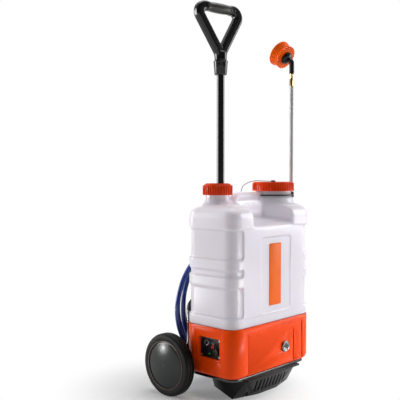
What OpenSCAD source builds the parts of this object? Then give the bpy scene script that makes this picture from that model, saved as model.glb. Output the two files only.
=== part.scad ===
// Wheeled battery sprayer cart: a moulded tank on a base housing and a two-wheeled chassis,
// with a telescopic pull handle, a lance in its clip and a hose coil behind the tank.
// Origin on the ground under the middle of the tank. -Y is the front, -X the control side.

/* [Tank] */
// Width of the tank and of the base under it
tank_w = 380; // [360:5:400]
// Depth of the tank and of the base under it
tank_d = 194; // [186:2:204]
// Corner radius of tank and base, seen from above
tank_r = 38; // [32:1:42]
// Height of the tank body, from its seat to its flat top
tank_h = 348; // [335:1:365]
// Wall thickness of the tank
tank_wall = 3; // [2.4:0.2:3.6]
// Depth of the drawn-in zones between the tank's bands
band_step = 4; // [2:0.5:5]
// Height of the lowest band
low_band_h = 28; // [22:1:34]
// Height of the middle band
mid_band_h = 46; // [38:1:52]
// Height of the middle band's lower edge above the tank seat
mid_band_z = 146; // [135:1:155]
// Height of the upper block, from its lower edge to the shoulder
upper_block_h = 33; // [26:1:40]
// Height of the rounded shoulder
shoulder_h = 32; // [28:1:36]

/* [Carry scoop and bar] */
// Depth of the front scoop below the flat top, at its lip
scoop_drop = 62; // [50:1:68]
// Tilt of the scoop's floor
scoop_tilt = 11; // [8:0.5:14]
// Depth of the saddle under the carry bar below the flat top
saddle_drop = 42; // [36:1:48]
// Radius of the carry bar
bar_r = 13; // [11:0.5:13.5]
// Height of the bar's middle above the flat top
bar_rise = 20.5; // [18:0.5:21]

/* [Necks and lids] */
// Distance from the tank's right side to the filler neck's middle
filler_side = 74; // [70:1:80]
// Outer radius of the filler neck
filler_r = 55; // [50:1:57]
// Height of the filler neck's rim above the flat top
filler_rise = 56; // [52:1:60]
// Radius of the filler lid
lid_r = 64.5; // [63:0.5:67]
// Height of the filler lid
lid_h = 28; // [26:1:32]
// Distance from the tank's left side to the handle neck's middle
handle_side = 85; // [80:1:92]
// Distance from the tank's rear to the handle neck's middle
handle_back = 59; // [56:1:64]
// Outer radius of the handle neck
handle_neck_r = 36; // [34:0.5:38]
// Height of the handle neck's rim above the flat top
handle_neck_rise = 53; // [50:1:56]
// Outer radius of the handle cap
cap_r = 43.5; // [42:0.5:46]
// Height of the handle cap
cap_h = 33; // [31:1:35]
// Sideways offset of the pole from the middle of the handle neck
pole_offset = 13; // [8:1:14]

/* [Base and chassis] */
// Height of the base housing
base_h = 144; // [134:1:152]
// Wall thickness of the base housing
base_wall = 3; // [2.5:0.5:4]
// Height of the base housing above the ground
base_z = 70; // [67:1:75]
// Thickness of the chassis tray under the base
tray_h = 7; // [6:0.5:9]
// Height of the chassis upright above the tray's underside
upright_h = 216; // [190:2:230]
// Thickness of the chassis upright
upright_t = 8; // [6:1:10]
// Half width of the front foot on the ground
foot_half_w = 133; // [120:1:140]
// Half width of the front foot under the tray
foot_top_half_w = 116; // [105:1:125]

/* [Wheels] */
// Radius of the wheels
wheel_r = 92; // [86:1:96]
// Width of the wheels
wheel_w = 34; // [30:1:38]
// Gap between the tank's side and the inner face of a wheel
wheel_gap = 24; // [22:1:30]
// Distance of the axle behind the tank's rear face
axle_back = 19; // [18:1:24]
// Radius of the axle
axle_r = 6; // [5:0.5:7]
// Radial clearance of turning and sliding fits
run_fit = 0.05; // [0.03:0.01:0.08]

/* [Handle] */
// Radius of the handle pole
pole_r = 11.5; // [10.5:0.5:12]
// Length of the handle pole
pole_len = 465; // [450:1:480]
// Length of pole that stays below the cap when pulled out
pole_engaged = 108; // [95:1:120]
// Length of the ferrule under the grip
ferrule_h = 42; // [40:1:50]
// Half width of the grip's frame, where the lines of its arms and its bar meet
grip_half_w = 93; // [88:1:98]
// Height of the grip, from the ferrule to the middle of its top bar
grip_h = 156; // [148:1:160]
// How far the grip is turned about its pole
grip_turn = 6.5; // [0:0.5:8]
// How far the grip leans to the rear
grip_lean = 4; // [0:0.5:6]
// Half thickness of the grip's arms
grip_arm_r = 14.5; // [13:0.5:15]

/* [Lance] */
// Distance of the lance's middle from the tank's side
lance_gap = 16; // [15:0.5:20]
// Radius of the lance tube
lance_r = 6; // [5:0.5:6.5]
// Length of the lance tube
lance_len = 504; // [460:4:524]
// Height of the lance's lower end above the ground
lance_z = 446; // [440:1:456]
// Slope of the spray head above the horizontal
head_tilt = 33; // [25:1:38]
// Radius of the spray head's rim
head_r = 41.5; // [38:0.5:43]
// Depth of the spray head
head_h = 34; // [30:1:38]
// Radius of the trigger gun's grip
gun_r = 12; // [11:0.5:12.5]

/* [Hose] */
// Radius of the hose
hose_r = 7; // [6:0.5:7]
/* [Hidden] */
$fn = 64;

// Colours
tank_white = [0.93, 0.92, 0.95];
orange = [0.96, 0.33, 0.09];
black_plastic = [0.08, 0.08, 0.09];
rubber = [0.05, 0.05, 0.05];
hub_grey = [0.30, 0.31, 0.31];
steel = [0.75, 0.76, 0.78];
brass = [0.78, 0.66, 0.35];
hose_blue = [0.07, 0.16, 0.45];

// Sides of a circle where a rounding is small
coarse = 16;

// Clearances
seat_gap = 0.2;
eps = 0.01;
loose_fit = 0.5;

// Main levels and places
tray_z = base_z - tray_h;
seat_z = base_z + base_h;
top_z = seat_z + tank_h;
side_x = tank_w / 2;
rear_y = tank_d / 2;

// Filler neck and lid
filler_x = side_x - filler_side;
filler_rim_z = top_z + filler_rise;
neck_wall = 4;
bar_y = 19;
gasket_h = 2;
basket_flange_h = 2;
lid_wall = 4;
lid_top_z = filler_rim_z + basket_flange_h + gasket_h + lid_wall;
lid_z = lid_top_z - lid_h;
button_r = 7.5;
button_stem_r = 3.5;

// Handle neck, cap and sleeve
handle_x = handle_side - side_x;
handle_y = rear_y - handle_back;
pole_x = handle_x + pole_offset;
neck_rim_z = top_z + handle_neck_rise;
guide_flange_h = 4;
cap_lip = 3;
cap_bevel = 5;
cap_z = neck_rim_z + guide_flange_h + cap_lip + seat_gap - cap_h;
cap_top_z = cap_z + cap_h;
guide_disc_r = 33;
guide_disc_rise = 1.5;
sleeve_wall = 1.6;
sleeve_in_r = pole_r + 1.4;
sleeve_r = sleeve_in_r + sleeve_wall;
tunnel_r = sleeve_r + loose_fit;
sleeve_z = base_z + base_wall + 40;
guide_spigot_h = 16;
sleeve_top_z = neck_rim_z - guide_spigot_h - seat_gap;
pole_z = cap_top_z - pole_engaged;
pole_top_z = pole_z + pole_len;
bush_h = 24;
sleeve_socket_h = 24;

// Ferrule and grip
ferrule_r = 21.5;
ferrule_low_r = 17;
ferrule_socket = 36;
ferrule_z = pole_top_z - ferrule_socket;
grip_z = ferrule_z + ferrule_h;
grip_depth_r = 13;
grip_neck_r = 18.5;
palm_len = 100;
palm_r = 13;
palm_swell = 2.5;
grip_corner_r = 20;
grip_apex_rise = 17;

// Wheels
axle_y = rear_y + axle_back;
axle_z = wheel_r;
wheel_in_x = side_x + wheel_gap;
wheel_out_x = wheel_in_x + wheel_w;
bead_r = wheel_r - 20;
rim_r = bead_r - 8;
hub_boss_r = 16;
boss_in = 6;
hub_web = 5;
clip_t = 2;
cap_dome_h = 7;
axle_half = wheel_out_x - 6;
ear_t = 12;
ear_out_x = side_x - 1;
ear_r = 15;

// Front foot
foot_front_y = -rear_y;
foot_bow = 24;
foot_back_y = 77;
foot_back_half_w = 75;
foot_corner_y = -44;
foot_wall = 6;
lip_h = 5;
slot_w = 6;
slot_pitch = 17;

// Control panel on the left face
panel_y = -4;
panel_z = base_z + 83;
panel_w = 80;
panel_h = 60;
pocket_depth = 12;
plate_t = 2.5;
panel_x = -side_x + pocket_depth;
plate_x = panel_x - plate_t;
switch_y = panel_y - 6;
switch_z = panel_z + 3;
socket_y = panel_y + 13;
socket_z = panel_z + 14;
knob_y = panel_y - 24;
knob_z = panel_z - 8;
lamp_y = panel_y + 4;
lamp_z = panel_z - 18;
switch_w = 13;
switch_tall = 19;
frame_rim = 2;
frame_wall = 1.2;
rocker_gap = 0.3;
rocker_pin_r = 1;
rocker_x = plate_x + 4;
socket_r = 6;
socket_nut_r = 9;
knob_r = 9;
knob_h = 9;
knob_shaft_r = 3;
lamp_r = 2.5;
screw_head_r = 3;
screw_r = 1.5;

// Gauge and label on the front
gauge_x = 51;
gauge_z = base_z + 61;
gauge_r = 17;
gauge_body_r = 13.5;
gauge_depth = 18;
label_x = 3;
label_w = 56;
label_h = 183;
label_t = 1.2;
label_z = seat_z + 141.5;
frame_w = 145;
frame_h = 225;
frame_x = 7.5;
frame_y = -rear_y + 1;
frame_floor_y = -rear_y + 3;
frame_line = 4;

// Lance, gun and spray head
lance_x = side_x + lance_gap;
lance_y = -5;
lance_top_z = lance_z + lance_len;
lance_socket = 28;
gun_top_z = lance_z + lance_socket;
gun_block_r = 14;
gun_block_h = 44;
gun_len = 152;
gun_z = gun_top_z - gun_len;
hose_nut_h = 18;
nut_grip = 16;
nut_h = 23;
nut_r = 8;
nut_neck_r = 4.5;
nut_neck_h = 17;
nut_z = lance_top_z - nut_grip;
elbow_r = 8;
elbow_bend_r = 14;
elbow_stub = 6;
elbow_foot_z = nut_z + nut_h + nut_neck_h;
elbow_z = elbow_foot_z + 31;
coupling_r = 20;
coupling_h = 13;
pin_r = 2.5;
trigger_y = lance_y + gun_block_r + 5;
trigger_z = gun_top_z - 16;
trigger_w = 12;
ear_wall = 4;
clip_z = top_z + 21;
clip_ring_h = 4;
clip_ring = 5;
rest_rise = 61;
rest_z = gun_z + rest_rise;
rest_h = 24;

// Hose, outlet and hook
coil_r = 172;
coil_z = 243;
coil_pitch = 15;
coil_turns = 3.5;
turn_steps = 24;
straight_end = 14;
outlet_x = 145;
outlet_y = 131;
outlet_z = 106;
outlet_r = 6.5;
outlet_nut_x = 121;
hook_x = 30;
hook_t = 6;
hook_w = 16;

// Place along Y within a turn, and the middle of the coil along X by turn
turn_y_rule = [[0, 131], [0.5, 131.5], [0.8, 146], [1, 146]];
coil_x_rule = [[0, -10], [0.25, -10], [1.25, 31], [2.25, 23], [3.25, 63], [3.5, 63]];

// Route of the hose from the outlet's nut down to the coil's first turn
outlet_route = [
    [121, 131, 106], [107, 131, 106], [91, 131, 104], [76, 131, 98], [62.5, 131, 88.5],
    [49, 131, 79], [34, 131, 73], [18, 131, 71], [4, 131, 71]
];

// Route of the hose from the coil's top round the right side up into the gun
gun_route = [
    [77, 176.5, 415], [91, 176.5, 415], [122, 172, 410], [150, 161, 395], [174, 146, 371],
    [193, 131, 340], [205, 119, 304], [209, 115, 265], [209, 107, 232], [208, 85, 210],
    [208, 55, 202], [207, 25, 210], [207, 3, 232], [206, -5, 262], [206, -5, 283],
    [206, -5, 304]
];

// Route of the tether from the vent button over the lid's edge to the carry bar
tether_r = 1;

// ---------------------------------------------------------------- shared shapes

function unit(v) = v / norm(v);

// One ring of a rounded rectangle in plan, at height z
function plan_ring(w, d, r, z, steps = 4) = [
    for (q = [0:3], i = [0:steps])
        let (a = 90 * q + 90 * i / steps)
        [
            (q == 0 || q == 3 ? 1 : -1) * (w / 2 - r) + r * cos(a),
            (q < 2 ? 1 : -1) * (d / 2 - r) + r * sin(a),
            z
        ]
];

// Closed solid through rings that all have the same number of points
module skin(rings) {
    n = len(rings[0]);
    m = len(rings);
    sides = [
        for (k = [0:m - 2], i = [0:n - 1], half = [0, 1])
            let (a = k * n + i, b = k * n + (i + 1) % n)
            half == 0 ? [a, a + n, b] : [b, a + n, b + n]
    ];
    polyhedron(
        points = [for (ring = rings) each ring],
        faces = concat(
            [[for (i = [0:n - 1]) i]],
            sides,
            [[for (i = [n - 1:-1:0]) (m - 1) * n + i]]
        ),
        convexity = 10
    );
}

// Rounded box lofted through rows of [height, inset]
module inset_loft(w, d, r, rows) {
    skin([
        for (row = rows)
            plan_ring(w - 2 * row[1], d - 2 * row[1], max(r - row[1] * 0.45, 9), row[0])
    ]);
}

module rounded_plan(w, d, r) {
    square([w - 2 * r, d], center = true);
    square([w, d - 2 * r], center = true);
    for (x = [-1, 1], y = [-1, 1]) translate([x * (w / 2 - r), y * (d / 2 - r)]) circle(r);
}

module tube_z(r_out, r_in, h) {
    difference() {
        cylinder(r = r_out, h = h);
        translate([0, 0, -eps]) cylinder(r = r_in, h = h + 2 * eps);
    }
}

// Cylinders along X and Y, from the origin on
module cyl_x(r, h) { rotate([0, 90, 0]) cylinder(r = r, h = h); }
module cyl_y(r, h) { rotate([-90, 0, 0]) cylinder(r = r, h = h); }

// Ribbed outline of a screw lid
module ribbed_disc(r, ribs, rib_r) {
    circle(r - rib_r / 2);
    for (i = [0:ribs - 1]) rotate(360 * i / ribs) translate([r - rib_r / 2, 0]) circle(rib_r, $fn = 16);
}

// Tangent of a path at point i
function tangent(path, i) = unit(path[min(i + 1, len(path) - 1)] - path[max(i - 1, 0)]);

// Side vectors carried along a path without twist
function side_vectors(path, first) = [
    for (
        i = 0, v = unit(first - (first * tangent(path, 0)) * tangent(path, 0));
        i < len(path);
        i = i + 1,
        v = i < len(path)
            ? let (t = tangent(path, i)) unit(v - (v * t) * t)
            : v
    ) v
];

// Sine or cosine pulled towards a square outline
function squared(c, k) = sign(c) * pow(abs(c), k);

// Tube along a path, with half widths a (across) and b (the other way)
module sweep(path, a, b, sides, first = [0, 1, 0], squareness = 1) {
    across = side_vectors(path, first);
    skin([
        for (i = [0:len(path) - 1])
            let (t = tangent(path, i), u = across[i], v = cross(t, u))
            [for (k = [0:sides - 1])
                let (w = 360 * (k + 0.5) / sides)
                path[i] + a * squared(cos(w), squareness) * u + b * squared(sin(w), squareness) * v]
    ]);
}

// Rounded corner at p between the directions to a and b, in a plane
function fillet_arc(a, p, b, r, steps) =
    let (
        u = unit(a - p), v = unit(b - p),
        half = acos(u * v) / 2,
        c = p + unit(u + v) * r / sin(half),
        s = p + u * r / tan(half) - c,
        e = p + v * r / tan(half) - c,
        from = atan2(s[1], s[0]),
        turn = (atan2(e[1], e[0]) - from + 540) % 360 - 180
    )
    [for (i = [0:steps]) c + r * [cos(from + turn * i / steps), sin(from + turn * i / steps)]];

// ---------------------------------------------------------------- tank

// Heights and insets of the tank's outside, drawn in by t
function tank_rows(t) =
    let (
        in = 1.5 + t, deep = in + band_step, proud = 0.5 + t,
        shoulder = tank_h - shoulder_h, block = shoulder - upper_block_h
    )
    [
        [t, in + 2], [t + 3, in], [low_band_h, in], [low_band_h + 6, deep],
        [mid_band_z - 8, deep], [mid_band_z, in], [mid_band_z + mid_band_h, in],
        [mid_band_z + mid_band_h + 8, deep], [block - 9, deep], [block, proud],
        [shoulder, proud], [shoulder + 14, proud + 5], [shoulder + 24, proud + 18],
        [tank_h - t, proud + 44]
    ];

// Front scoop with a tilted floor, wider to the front, grown by g for the cavity
module scoop(g) {
    left = -98 - g;
    right = 90 + g;
    back = -8 + g;
    intersection() {
        translate([0, -rear_y, top_z - scoop_drop - g]) rotate([scoop_tilt, 0, 0])
            translate([0, rear_y + 20, 0]) rotate([90, 0, 0])
                linear_extrude(rear_y + 60)
                    offset(r = 12, $fn = coarse) offset(r = -12, $fn = coarse)
                        polygon([[left, 0], [right + 10, 0], [right + 10, 100], [left, 100]]);
        translate([0, 0, top_z - 120]) linear_extrude(240)
            polygon([[left - 1, -rear_y - 30], [right + 9, -rear_y - 30], [58 + g, back], [left - 1, back]]);
    }
}

// Saddle under the carry bar, right through from front to rear
module saddle(g) {
    left = -46 - g;
    right = filler_x - filler_r - 9 + g;
    floor_z = top_z - saddle_drop - g;
    translate([0, rear_y + 1, 0]) rotate([90, 0, 0])
        linear_extrude(tank_d + 2)
            offset(r = 14, $fn = coarse) offset(r = -14, $fn = coarse)
                polygon([[left, floor_z], [right, floor_z], [right, top_z + 60], [left, top_z + 60]]);
}

module towers(t) {
    cone_h = 40;
    translate([filler_x, 0, top_z - 24])
        cylinder(r1 = filler_side - 1 - t, r2 = filler_r + 5 - t, h = cone_h);
    translate([handle_x, handle_y, top_z - 16])
        cylinder(r1 = handle_back - 4 - t, r2 = handle_neck_r - t, h = 30 - t);
}

module carry_bar() {
    bend = 20;
    post_x = -58;
    bar_z = top_z + bar_rise;
    translate([post_x, bar_y, top_z - 24]) cylinder(r = bar_r, h = bar_z - bend - top_z + 24);
    translate([post_x + bend, bar_y, bar_z - bend]) rotate([90, 0, 0])
        rotate([0, 0, 90]) rotate_extrude(angle = 90) translate([bend, 0]) circle(bar_r);
    translate([post_x + bend, bar_y, bar_z]) cyl_x(bar_r, filler_x - filler_r + 12 - post_x - bend);
}

module tank() {
    groove_w = 6;
    groove_z = [
        [mid_band_z + mid_band_h + 8, tank_h - shoulder_h - upper_block_h - 8],
        [mid_band_z + 6, mid_band_z + 22],
        [low_band_h + 14, mid_band_z - 30]
    ];
    color(tank_white) difference() {
        union() {
            difference() {
                translate([0, 0, seat_z]) inset_loft(tank_w, tank_d, tank_r, tank_rows(0));
                scoop(0);
                saddle(0);
            }
            difference() {
                towers(0);
                scoop(0);
                saddle(0);
            }
            carry_bar();
            translate([filler_x, 0, top_z - scoop_drop])
                cylinder(r = filler_r, h = filler_rise + scoop_drop);
            translate([handle_x, handle_y, top_z - 6])
                cylinder(r = handle_neck_r, h = handle_neck_rise + 6);
            // raised front between the corners
            for (z = front_panels()) translate([-side_x + 45, -rear_y + 1.5, seat_z + z[0]])
                cube([tank_w - 90, 10, z[1] - z[0]]);
            // frame round the label
            translate([frame_x, frame_y + 9, label_z]) rotate([90, 0, 0])
                linear_extrude(9) rounded_plan(frame_w, frame_h, 12);
        }
        // floor of the label frame
        translate([frame_x, frame_floor_y, label_z]) rotate([90, 0, 0])
            linear_extrude(9) rounded_plan(frame_w - 2 * frame_line, frame_h - 2 * frame_line, 9);
        // cavity
        difference() {
            union() {
                difference() {
                    translate([0, 0, seat_z])
                        inset_loft(tank_w, tank_d, tank_r, tank_rows(tank_wall));
                    scoop(tank_wall);
                    saddle(tank_wall);
                }
                difference() {
                    towers(tank_wall);
                    scoop(tank_wall);
                    saddle(tank_wall);
                }
            }
            translate([frame_x, frame_floor_y + tank_wall, label_z]) rotate([90, 0, 0])
                linear_extrude(20) rounded_plan(frame_w + 6, frame_h + 6, 12);
            // wall of the channel that the handle sleeve runs in
            translate([pole_x, handle_y, seat_z]) cylinder(r = tunnel_r + tank_wall, h = tank_h + 60);
        }
        translate([filler_x, 0, top_z - scoop_drop - 6])
            cylinder(r = filler_r - neck_wall, h = filler_rise + scoop_drop + 7);
        difference() {
            translate([handle_x, handle_y, top_z - 12])
                cylinder(r = handle_neck_r - tank_wall, h = handle_neck_rise + 12 - 5);
            translate([pole_x, handle_y, top_z - 20])
                cylinder(r = tunnel_r + tank_wall, h = handle_neck_rise + 30);
        }
        translate([pole_x, handle_y, seat_z - 1])
            cylinder(r = tunnel_r, h = tank_h + handle_neck_rise + 2);
        // outlet to the suction filter
        translate([filter_x, filter_y, seat_z - 1]) cylinder(r = filter_r, h = tank_wall + 6);
        // grooves beside the front corners
        for (x = [-1, 1], g = groove_z)
            translate([x * (side_x - 44.5) - groove_w / 2, -rear_y - 1, seat_z + g[0] - groove_w / 2])
                cube([groove_w, band_step + 5, g[1] - g[0] + groove_w]);
    }
}

// Lower and upper ends of the raised front
function front_panels() = [[low_band_h + 8, tank_h - shoulder_h - upper_block_h - 12]];

// ---------------------------------------------------------------- base housing

module base_housing() {
    color(orange) difference() {
        union() {
            difference() {
                inset_loft(tank_w, tank_d, tank_r, [
                    [base_z, 15], [base_z + 2.5, 8.5], [base_z + 7, 3.6], [base_z + 12, 1.2],
                    [base_z + 18, 0], [seat_z - seat_gap, 0]
                ]);
                translate([0, 0, base_z + 13])
                    linear_extrude(base_h)
                        rounded_plan(tank_w - 2 * base_wall, tank_d - 2 * base_wall, tank_r - base_wall);
                translate([0, 0, base_z + base_wall])
                    linear_extrude(base_h)
                        rounded_plan(tank_w - 28, tank_d - 28, tank_r - 10);
            }
            // box of the control pocket
            translate([-side_x + 0.5, panel_y - panel_w / 2 - base_wall, panel_z - panel_h / 2 - base_wall])
                cube([pocket_depth + base_wall, panel_w + 2 * base_wall, panel_h + 2 * base_wall]);
            // socket of the handle sleeve
            translate([pole_x, handle_y, base_z + 1])
                cylinder(r = sleeve_r + 5, h = sleeve_z - base_z - 1 + sleeve_socket_h);
        }
        // control pocket
        translate([-side_x - 1, panel_y, panel_z]) rotate([90, 0, 90])
            linear_extrude(pocket_depth + 1) rounded_plan(panel_w, panel_h, 5);
        // stepped frame round the pocket
        translate([-side_x - 1, panel_y + 4, panel_z + 2]) rotate([90, 0, 90])
            linear_extrude(2.2) rounded_plan(panel_w + 24, panel_h + 18, 8);
        panel_openings(-side_x - 1, pocket_depth + base_wall + 2);
        // seat and bore of the sleeve
        translate([pole_x, handle_y, sleeve_z]) cylinder(r = sleeve_r + run_fit, h = base_h);
        // gauge
        translate([gauge_x, -rear_y - 1, gauge_z]) cyl_y(gauge_body_r + seat_gap, base_wall + 3);
        // rear hose outlet
        translate([outlet_x, rear_y - base_wall - 2, outlet_z])
            cyl_y(outlet_r + seat_gap, base_wall + 4);
        // front panel with its grooves
        front_panel_cuts();
        for (p = foot_screw_places()) translate([p[0], p[1], base_z - 1]) cylinder(r = 2.7, h = 12);
    }
}

module front_panel_cuts() {
    left = -124;
    right = 93.5;
    top = base_z + 120;
    groove = 6;
    groove_depth = 2.2;
    translate([0, -rear_y + 1.2, 0]) rotate([90, 0, 0]) linear_extrude(5) {
        polygon([
            [left, base_z + 3], [right, base_z + 3], [right, top - 18], [right - 6, top - 5],
            [right - 18, top], [left, top]
        ]);
    }
    for (p = [[left, 3, 123], [right, 3, 108], [137, 4, 125]])
        translate([p[0] - groove / 2, -rear_y - 1, base_z + p[1]])
            cube([groove, groove_depth + 1, p[2] - p[1]]);
}

function foot_screw_places() = [for (x = [-90, 90], y = [-60, 20]) [x, y]];

// Holes in the pocket's floor and in the panel plate
module panel_openings(x, depth) {
    translate([x, switch_y - switch_w / 2 - seat_gap, switch_z - switch_tall / 2 - seat_gap])
        cube([depth, switch_w + 2 * seat_gap, switch_tall + 2 * seat_gap]);
    translate([x, socket_y, socket_z]) cyl_x(socket_r + seat_gap, depth);
    translate([x, knob_y, knob_z]) cyl_x(knob_shaft_r + run_fit, depth);
    translate([x, lamp_y, lamp_z]) cyl_x(lamp_r + seat_gap, depth);
    for (p = panel_screw_places()) translate([x, p[0], p[1]]) cyl_x(screw_r + seat_gap, depth);
}

function panel_screw_places() = [
    for (y = [-1, 1], z = [-1, 1])
        [panel_y + y * (panel_w / 2 - 6), panel_z + z * (panel_h / 2 - 6)]
];

// ---------------------------------------------------------------- chassis and foot

module chassis() {
    plate_z = tray_z + upright_h;
    color(black_plastic) difference() {
        union() {
            translate([0, 0, tray_z]) linear_extrude(tray_h - seat_gap)
                rounded_plan(tank_w - 26, tank_d - 22, tank_r - 8);
            // upright behind the base and tank
            translate([0, rear_y + seat_gap + upright_t, 0]) rotate([90, 0, 0])
                linear_extrude(upright_t) {
                translate([-side_x + 6, tray_z]) square([tank_w - 12, 62]);
                translate([-side_x + 22, tray_z]) square([tank_w - 44, upright_h - 34]);
                translate([0, plate_z - 34]) rounded_plan(tank_w - 44, 68, 33);
                polygon([
                    [-side_x + 6, tray_z + 62], [-side_x + 22, tray_z + 86],
                    [side_x - 22, tray_z + 86], [side_x - 6, tray_z + 62]
                ]);
            }
            translate([-side_x + 30, rear_y - 14, tray_z]) cube([tank_w - 60, 18, tray_h - seat_gap]);
            // ears of the axle
            for (s = [-1, 1]) axle_ear(s);
            // stiffening ribs
            for (x = [-110, -60, 156])
                translate([x, rear_y + seat_gap + upright_t - 1, tray_z]) cube([4, 4, 150]);
        }
        // hollows under the tray
        for (x = [-1, 1], y = [-1, 1])
            translate([x * 84, y * 38, tray_z - 1])
                linear_extrude(tray_h - 2) rounded_plan(156, 66, 12);
        // windows of the upright
        for (x = [-1, 1]) translate([x * 92, rear_y + 20, tray_z + 150]) rotate([90, 0, 0])
            linear_extrude(40) rounded_plan(96, 46, 12);
        translate([outlet_x, rear_y - 1, outlet_z]) cyl_y(outlet_r + seat_gap, upright_t + 3);
        translate([-wheel_out_x, axle_y, axle_z]) cyl_x(axle_r + run_fit, 2 * wheel_out_x);
        for (p = foot_screw_places()) translate([p[0], p[1], tray_z - 1])
            cylinder(r = 2.7, h = tray_h + 2);
    }
}

module axle_ear(s) {
    x = s > 0 ? ear_out_x - ear_t : -ear_out_x;
    translate([x, axle_y, axle_z]) cyl_x(ear_r, ear_t);
    translate([x, rear_y + seat_gap, axle_z - ear_r]) cube([ear_t, axle_back - seat_gap, 2 * ear_r]);
}

module foot_plan(half_w, front, bow, back_half_w) {
    polygon([
        [-half_w, front], [-half_w / 3, front - bow], [half_w / 3, front - bow], [half_w, front],
        [back_half_w, foot_back_y], [-back_half_w, foot_back_y]
    ]);
}

module foot_solid(g) {
    hull() {
        translate([0, 0, g]) linear_extrude(1)
            offset(delta = -g) foot_plan(foot_half_w, foot_corner_y, foot_bow, foot_back_half_w);
        translate([0, 0, tray_z - lip_h - 1 - g]) linear_extrude(1 + g)
            offset(delta = -g) foot_plan(foot_top_half_w, foot_front_y + 12, 6, foot_back_half_w + 20);
    }
}

module front_foot() {
    color(black_plastic) difference() {
        union() {
            foot_solid(0);
            // lip under the tray
            translate([0, 0, tray_z - lip_h]) linear_extrude(lip_h - seat_gap)
                polygon([
                    [-foot_top_half_w - 8, foot_front_y - 1], [foot_top_half_w + 8, foot_front_y - 1],
                    [foot_top_half_w + 14, foot_front_y + 14], [foot_back_half_w + 22, foot_back_y + 4],
                    [-foot_back_half_w - 22, foot_back_y + 4], [-foot_top_half_w - 14, foot_front_y + 14]
                ]);
        }
        // hollow, open to the rear
        difference() {
            foot_solid(foot_wall);
            for (x = [-1, 1]) translate([x * 45 - 3, -rear_y, 0]) cube([6, tank_d, tray_z]);
            for (p = foot_screw_places()) translate([p[0], p[1], 0]) cylinder(r = 9, h = tray_z);
        }
        translate([-foot_back_half_w + 12, foot_back_y - foot_wall - 2, foot_wall + 6])
            cube([2 * foot_back_half_w - 24, foot_wall + 4, tray_z - lip_h - 2 * foot_wall - 8]);
        // slots in the front wall
        for (i = [-4:4])
            translate([i * slot_pitch - slot_w / 2, -rear_y - 20, 14])
                cube([slot_w, abs(i) > 2 ? 62 : 52, tray_z - lip_h - 24]);
        for (p = foot_screw_places()) translate([p[0], p[1], -1]) {
            cylinder(r = 6, h = tray_z - lip_h - 3);
            cylinder(r = 2.7, h = tray_z + 2);
        }
    }
}

module foot_screws() {
    head_z = tray_z - lip_h - 4;
    color(steel) for (p = foot_screw_places()) translate([p[0], p[1], head_z - 4]) {
        cylinder(r = 5, h = 4);
        cylinder(r = 2.5, h = base_z + base_wall + 4 - head_z);
    }
}

// ---------------------------------------------------------------- wheels and axle

module axle() {
    color(steel) translate([-axle_half, axle_y, axle_z]) difference() {
        cyl_x(axle_r, 2 * axle_half);
        // grooves of the clips
        for (x = [clip_x() + axle_half, axle_half - clip_x() - clip_t])
            translate([x - seat_gap, 0, 0]) rotate([0, 90, 0])
                tube_z(axle_r + 1, axle_r - 1.2, clip_t + 2 * seat_gap);
    }
}

function clip_x() = wheel_out_x - 13;

module axle_washers() {
    gap = wheel_in_x - boss_in - ear_out_x;
    color(steel) for (s = [0, 1]) mirror([s, 0, 0])
        translate([ear_out_x + seat_gap, axle_y, axle_z]) rotate([0, 90, 0])
            tube_z(axle_r + 5, axle_r + run_fit, gap - 2 * seat_gap);
}

module wheel_clips() {
    color(steel) for (s = [0, 1]) mirror([s, 0, 0])
        translate([clip_x(), axle_y, axle_z]) rotate([0, 90, 0]) difference() {
            tube_z(axle_r + 4, axle_r - 1.1, clip_t);
            translate([-20, -axle_r + 2.5, -1]) cube([20, 2 * axle_r - 5, clip_t + 2]);
        }
}

// A wheel part turned about the axle, for the right side, or mirrored for the left
module on_wheel(side) {
    mirror([side < 0 ? 1 : 0, 0, 0]) translate([wheel_in_x, axle_y, axle_z]) rotate([0, 90, 0])
        children();
}

module tyre_profile() {
    shoulder = 10;
    difference() {
        union() {
            translate([bead_r, 0]) square([wheel_r - shoulder - bead_r, wheel_w]);
            translate([bead_r, shoulder]) square([wheel_r - bead_r, wheel_w - 2 * shoulder]);
            for (y = [shoulder, wheel_w - shoulder]) translate([wheel_r - shoulder, y])
                circle(shoulder);
        }
        for (y = [wheel_w / 2 - 5, wheel_w / 2 + 5]) translate([wheel_r - 2.2, y - 1.2])
            square([4, 2.4]);
    }
}

module tyre(side) { color(rubber) on_wheel(side) rotate_extrude($fn = 128) tyre_profile(); }

module hub(side) {
    outer = bead_r - seat_gap;
    spokes = 6;
    color(hub_grey) on_wheel(side) difference() {
        union() {
            rotate_extrude($fn = 128) {
                translate([rim_r, 1]) square([outer - rim_r, wheel_w]);
                translate([hub_boss_r - 2, wheel_w / 2 - hub_web / 2])
                    square([rim_r - hub_boss_r + 4, hub_web]);
            }
            translate([0, 0, -boss_in])
                cylinder(r = hub_boss_r, h = clip_x() - wheel_in_x + boss_in - seat_gap);
            for (i = [0:spokes - 1]) rotate(360 * i / spokes)
                translate([hub_boss_r - 2, -2, 4]) cube([rim_r - hub_boss_r + 4, 4, wheel_w / 2 - 4]);
        }
        translate([0, 0, -boss_in - 1]) cylinder(r = axle_r + run_fit, h = wheel_w + boss_in + 2);
        // seat of the cap
        translate([0, 0, wheel_w - 3]) cylinder(r = outer - 4 + seat_gap, h = 10);
    }
}

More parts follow.
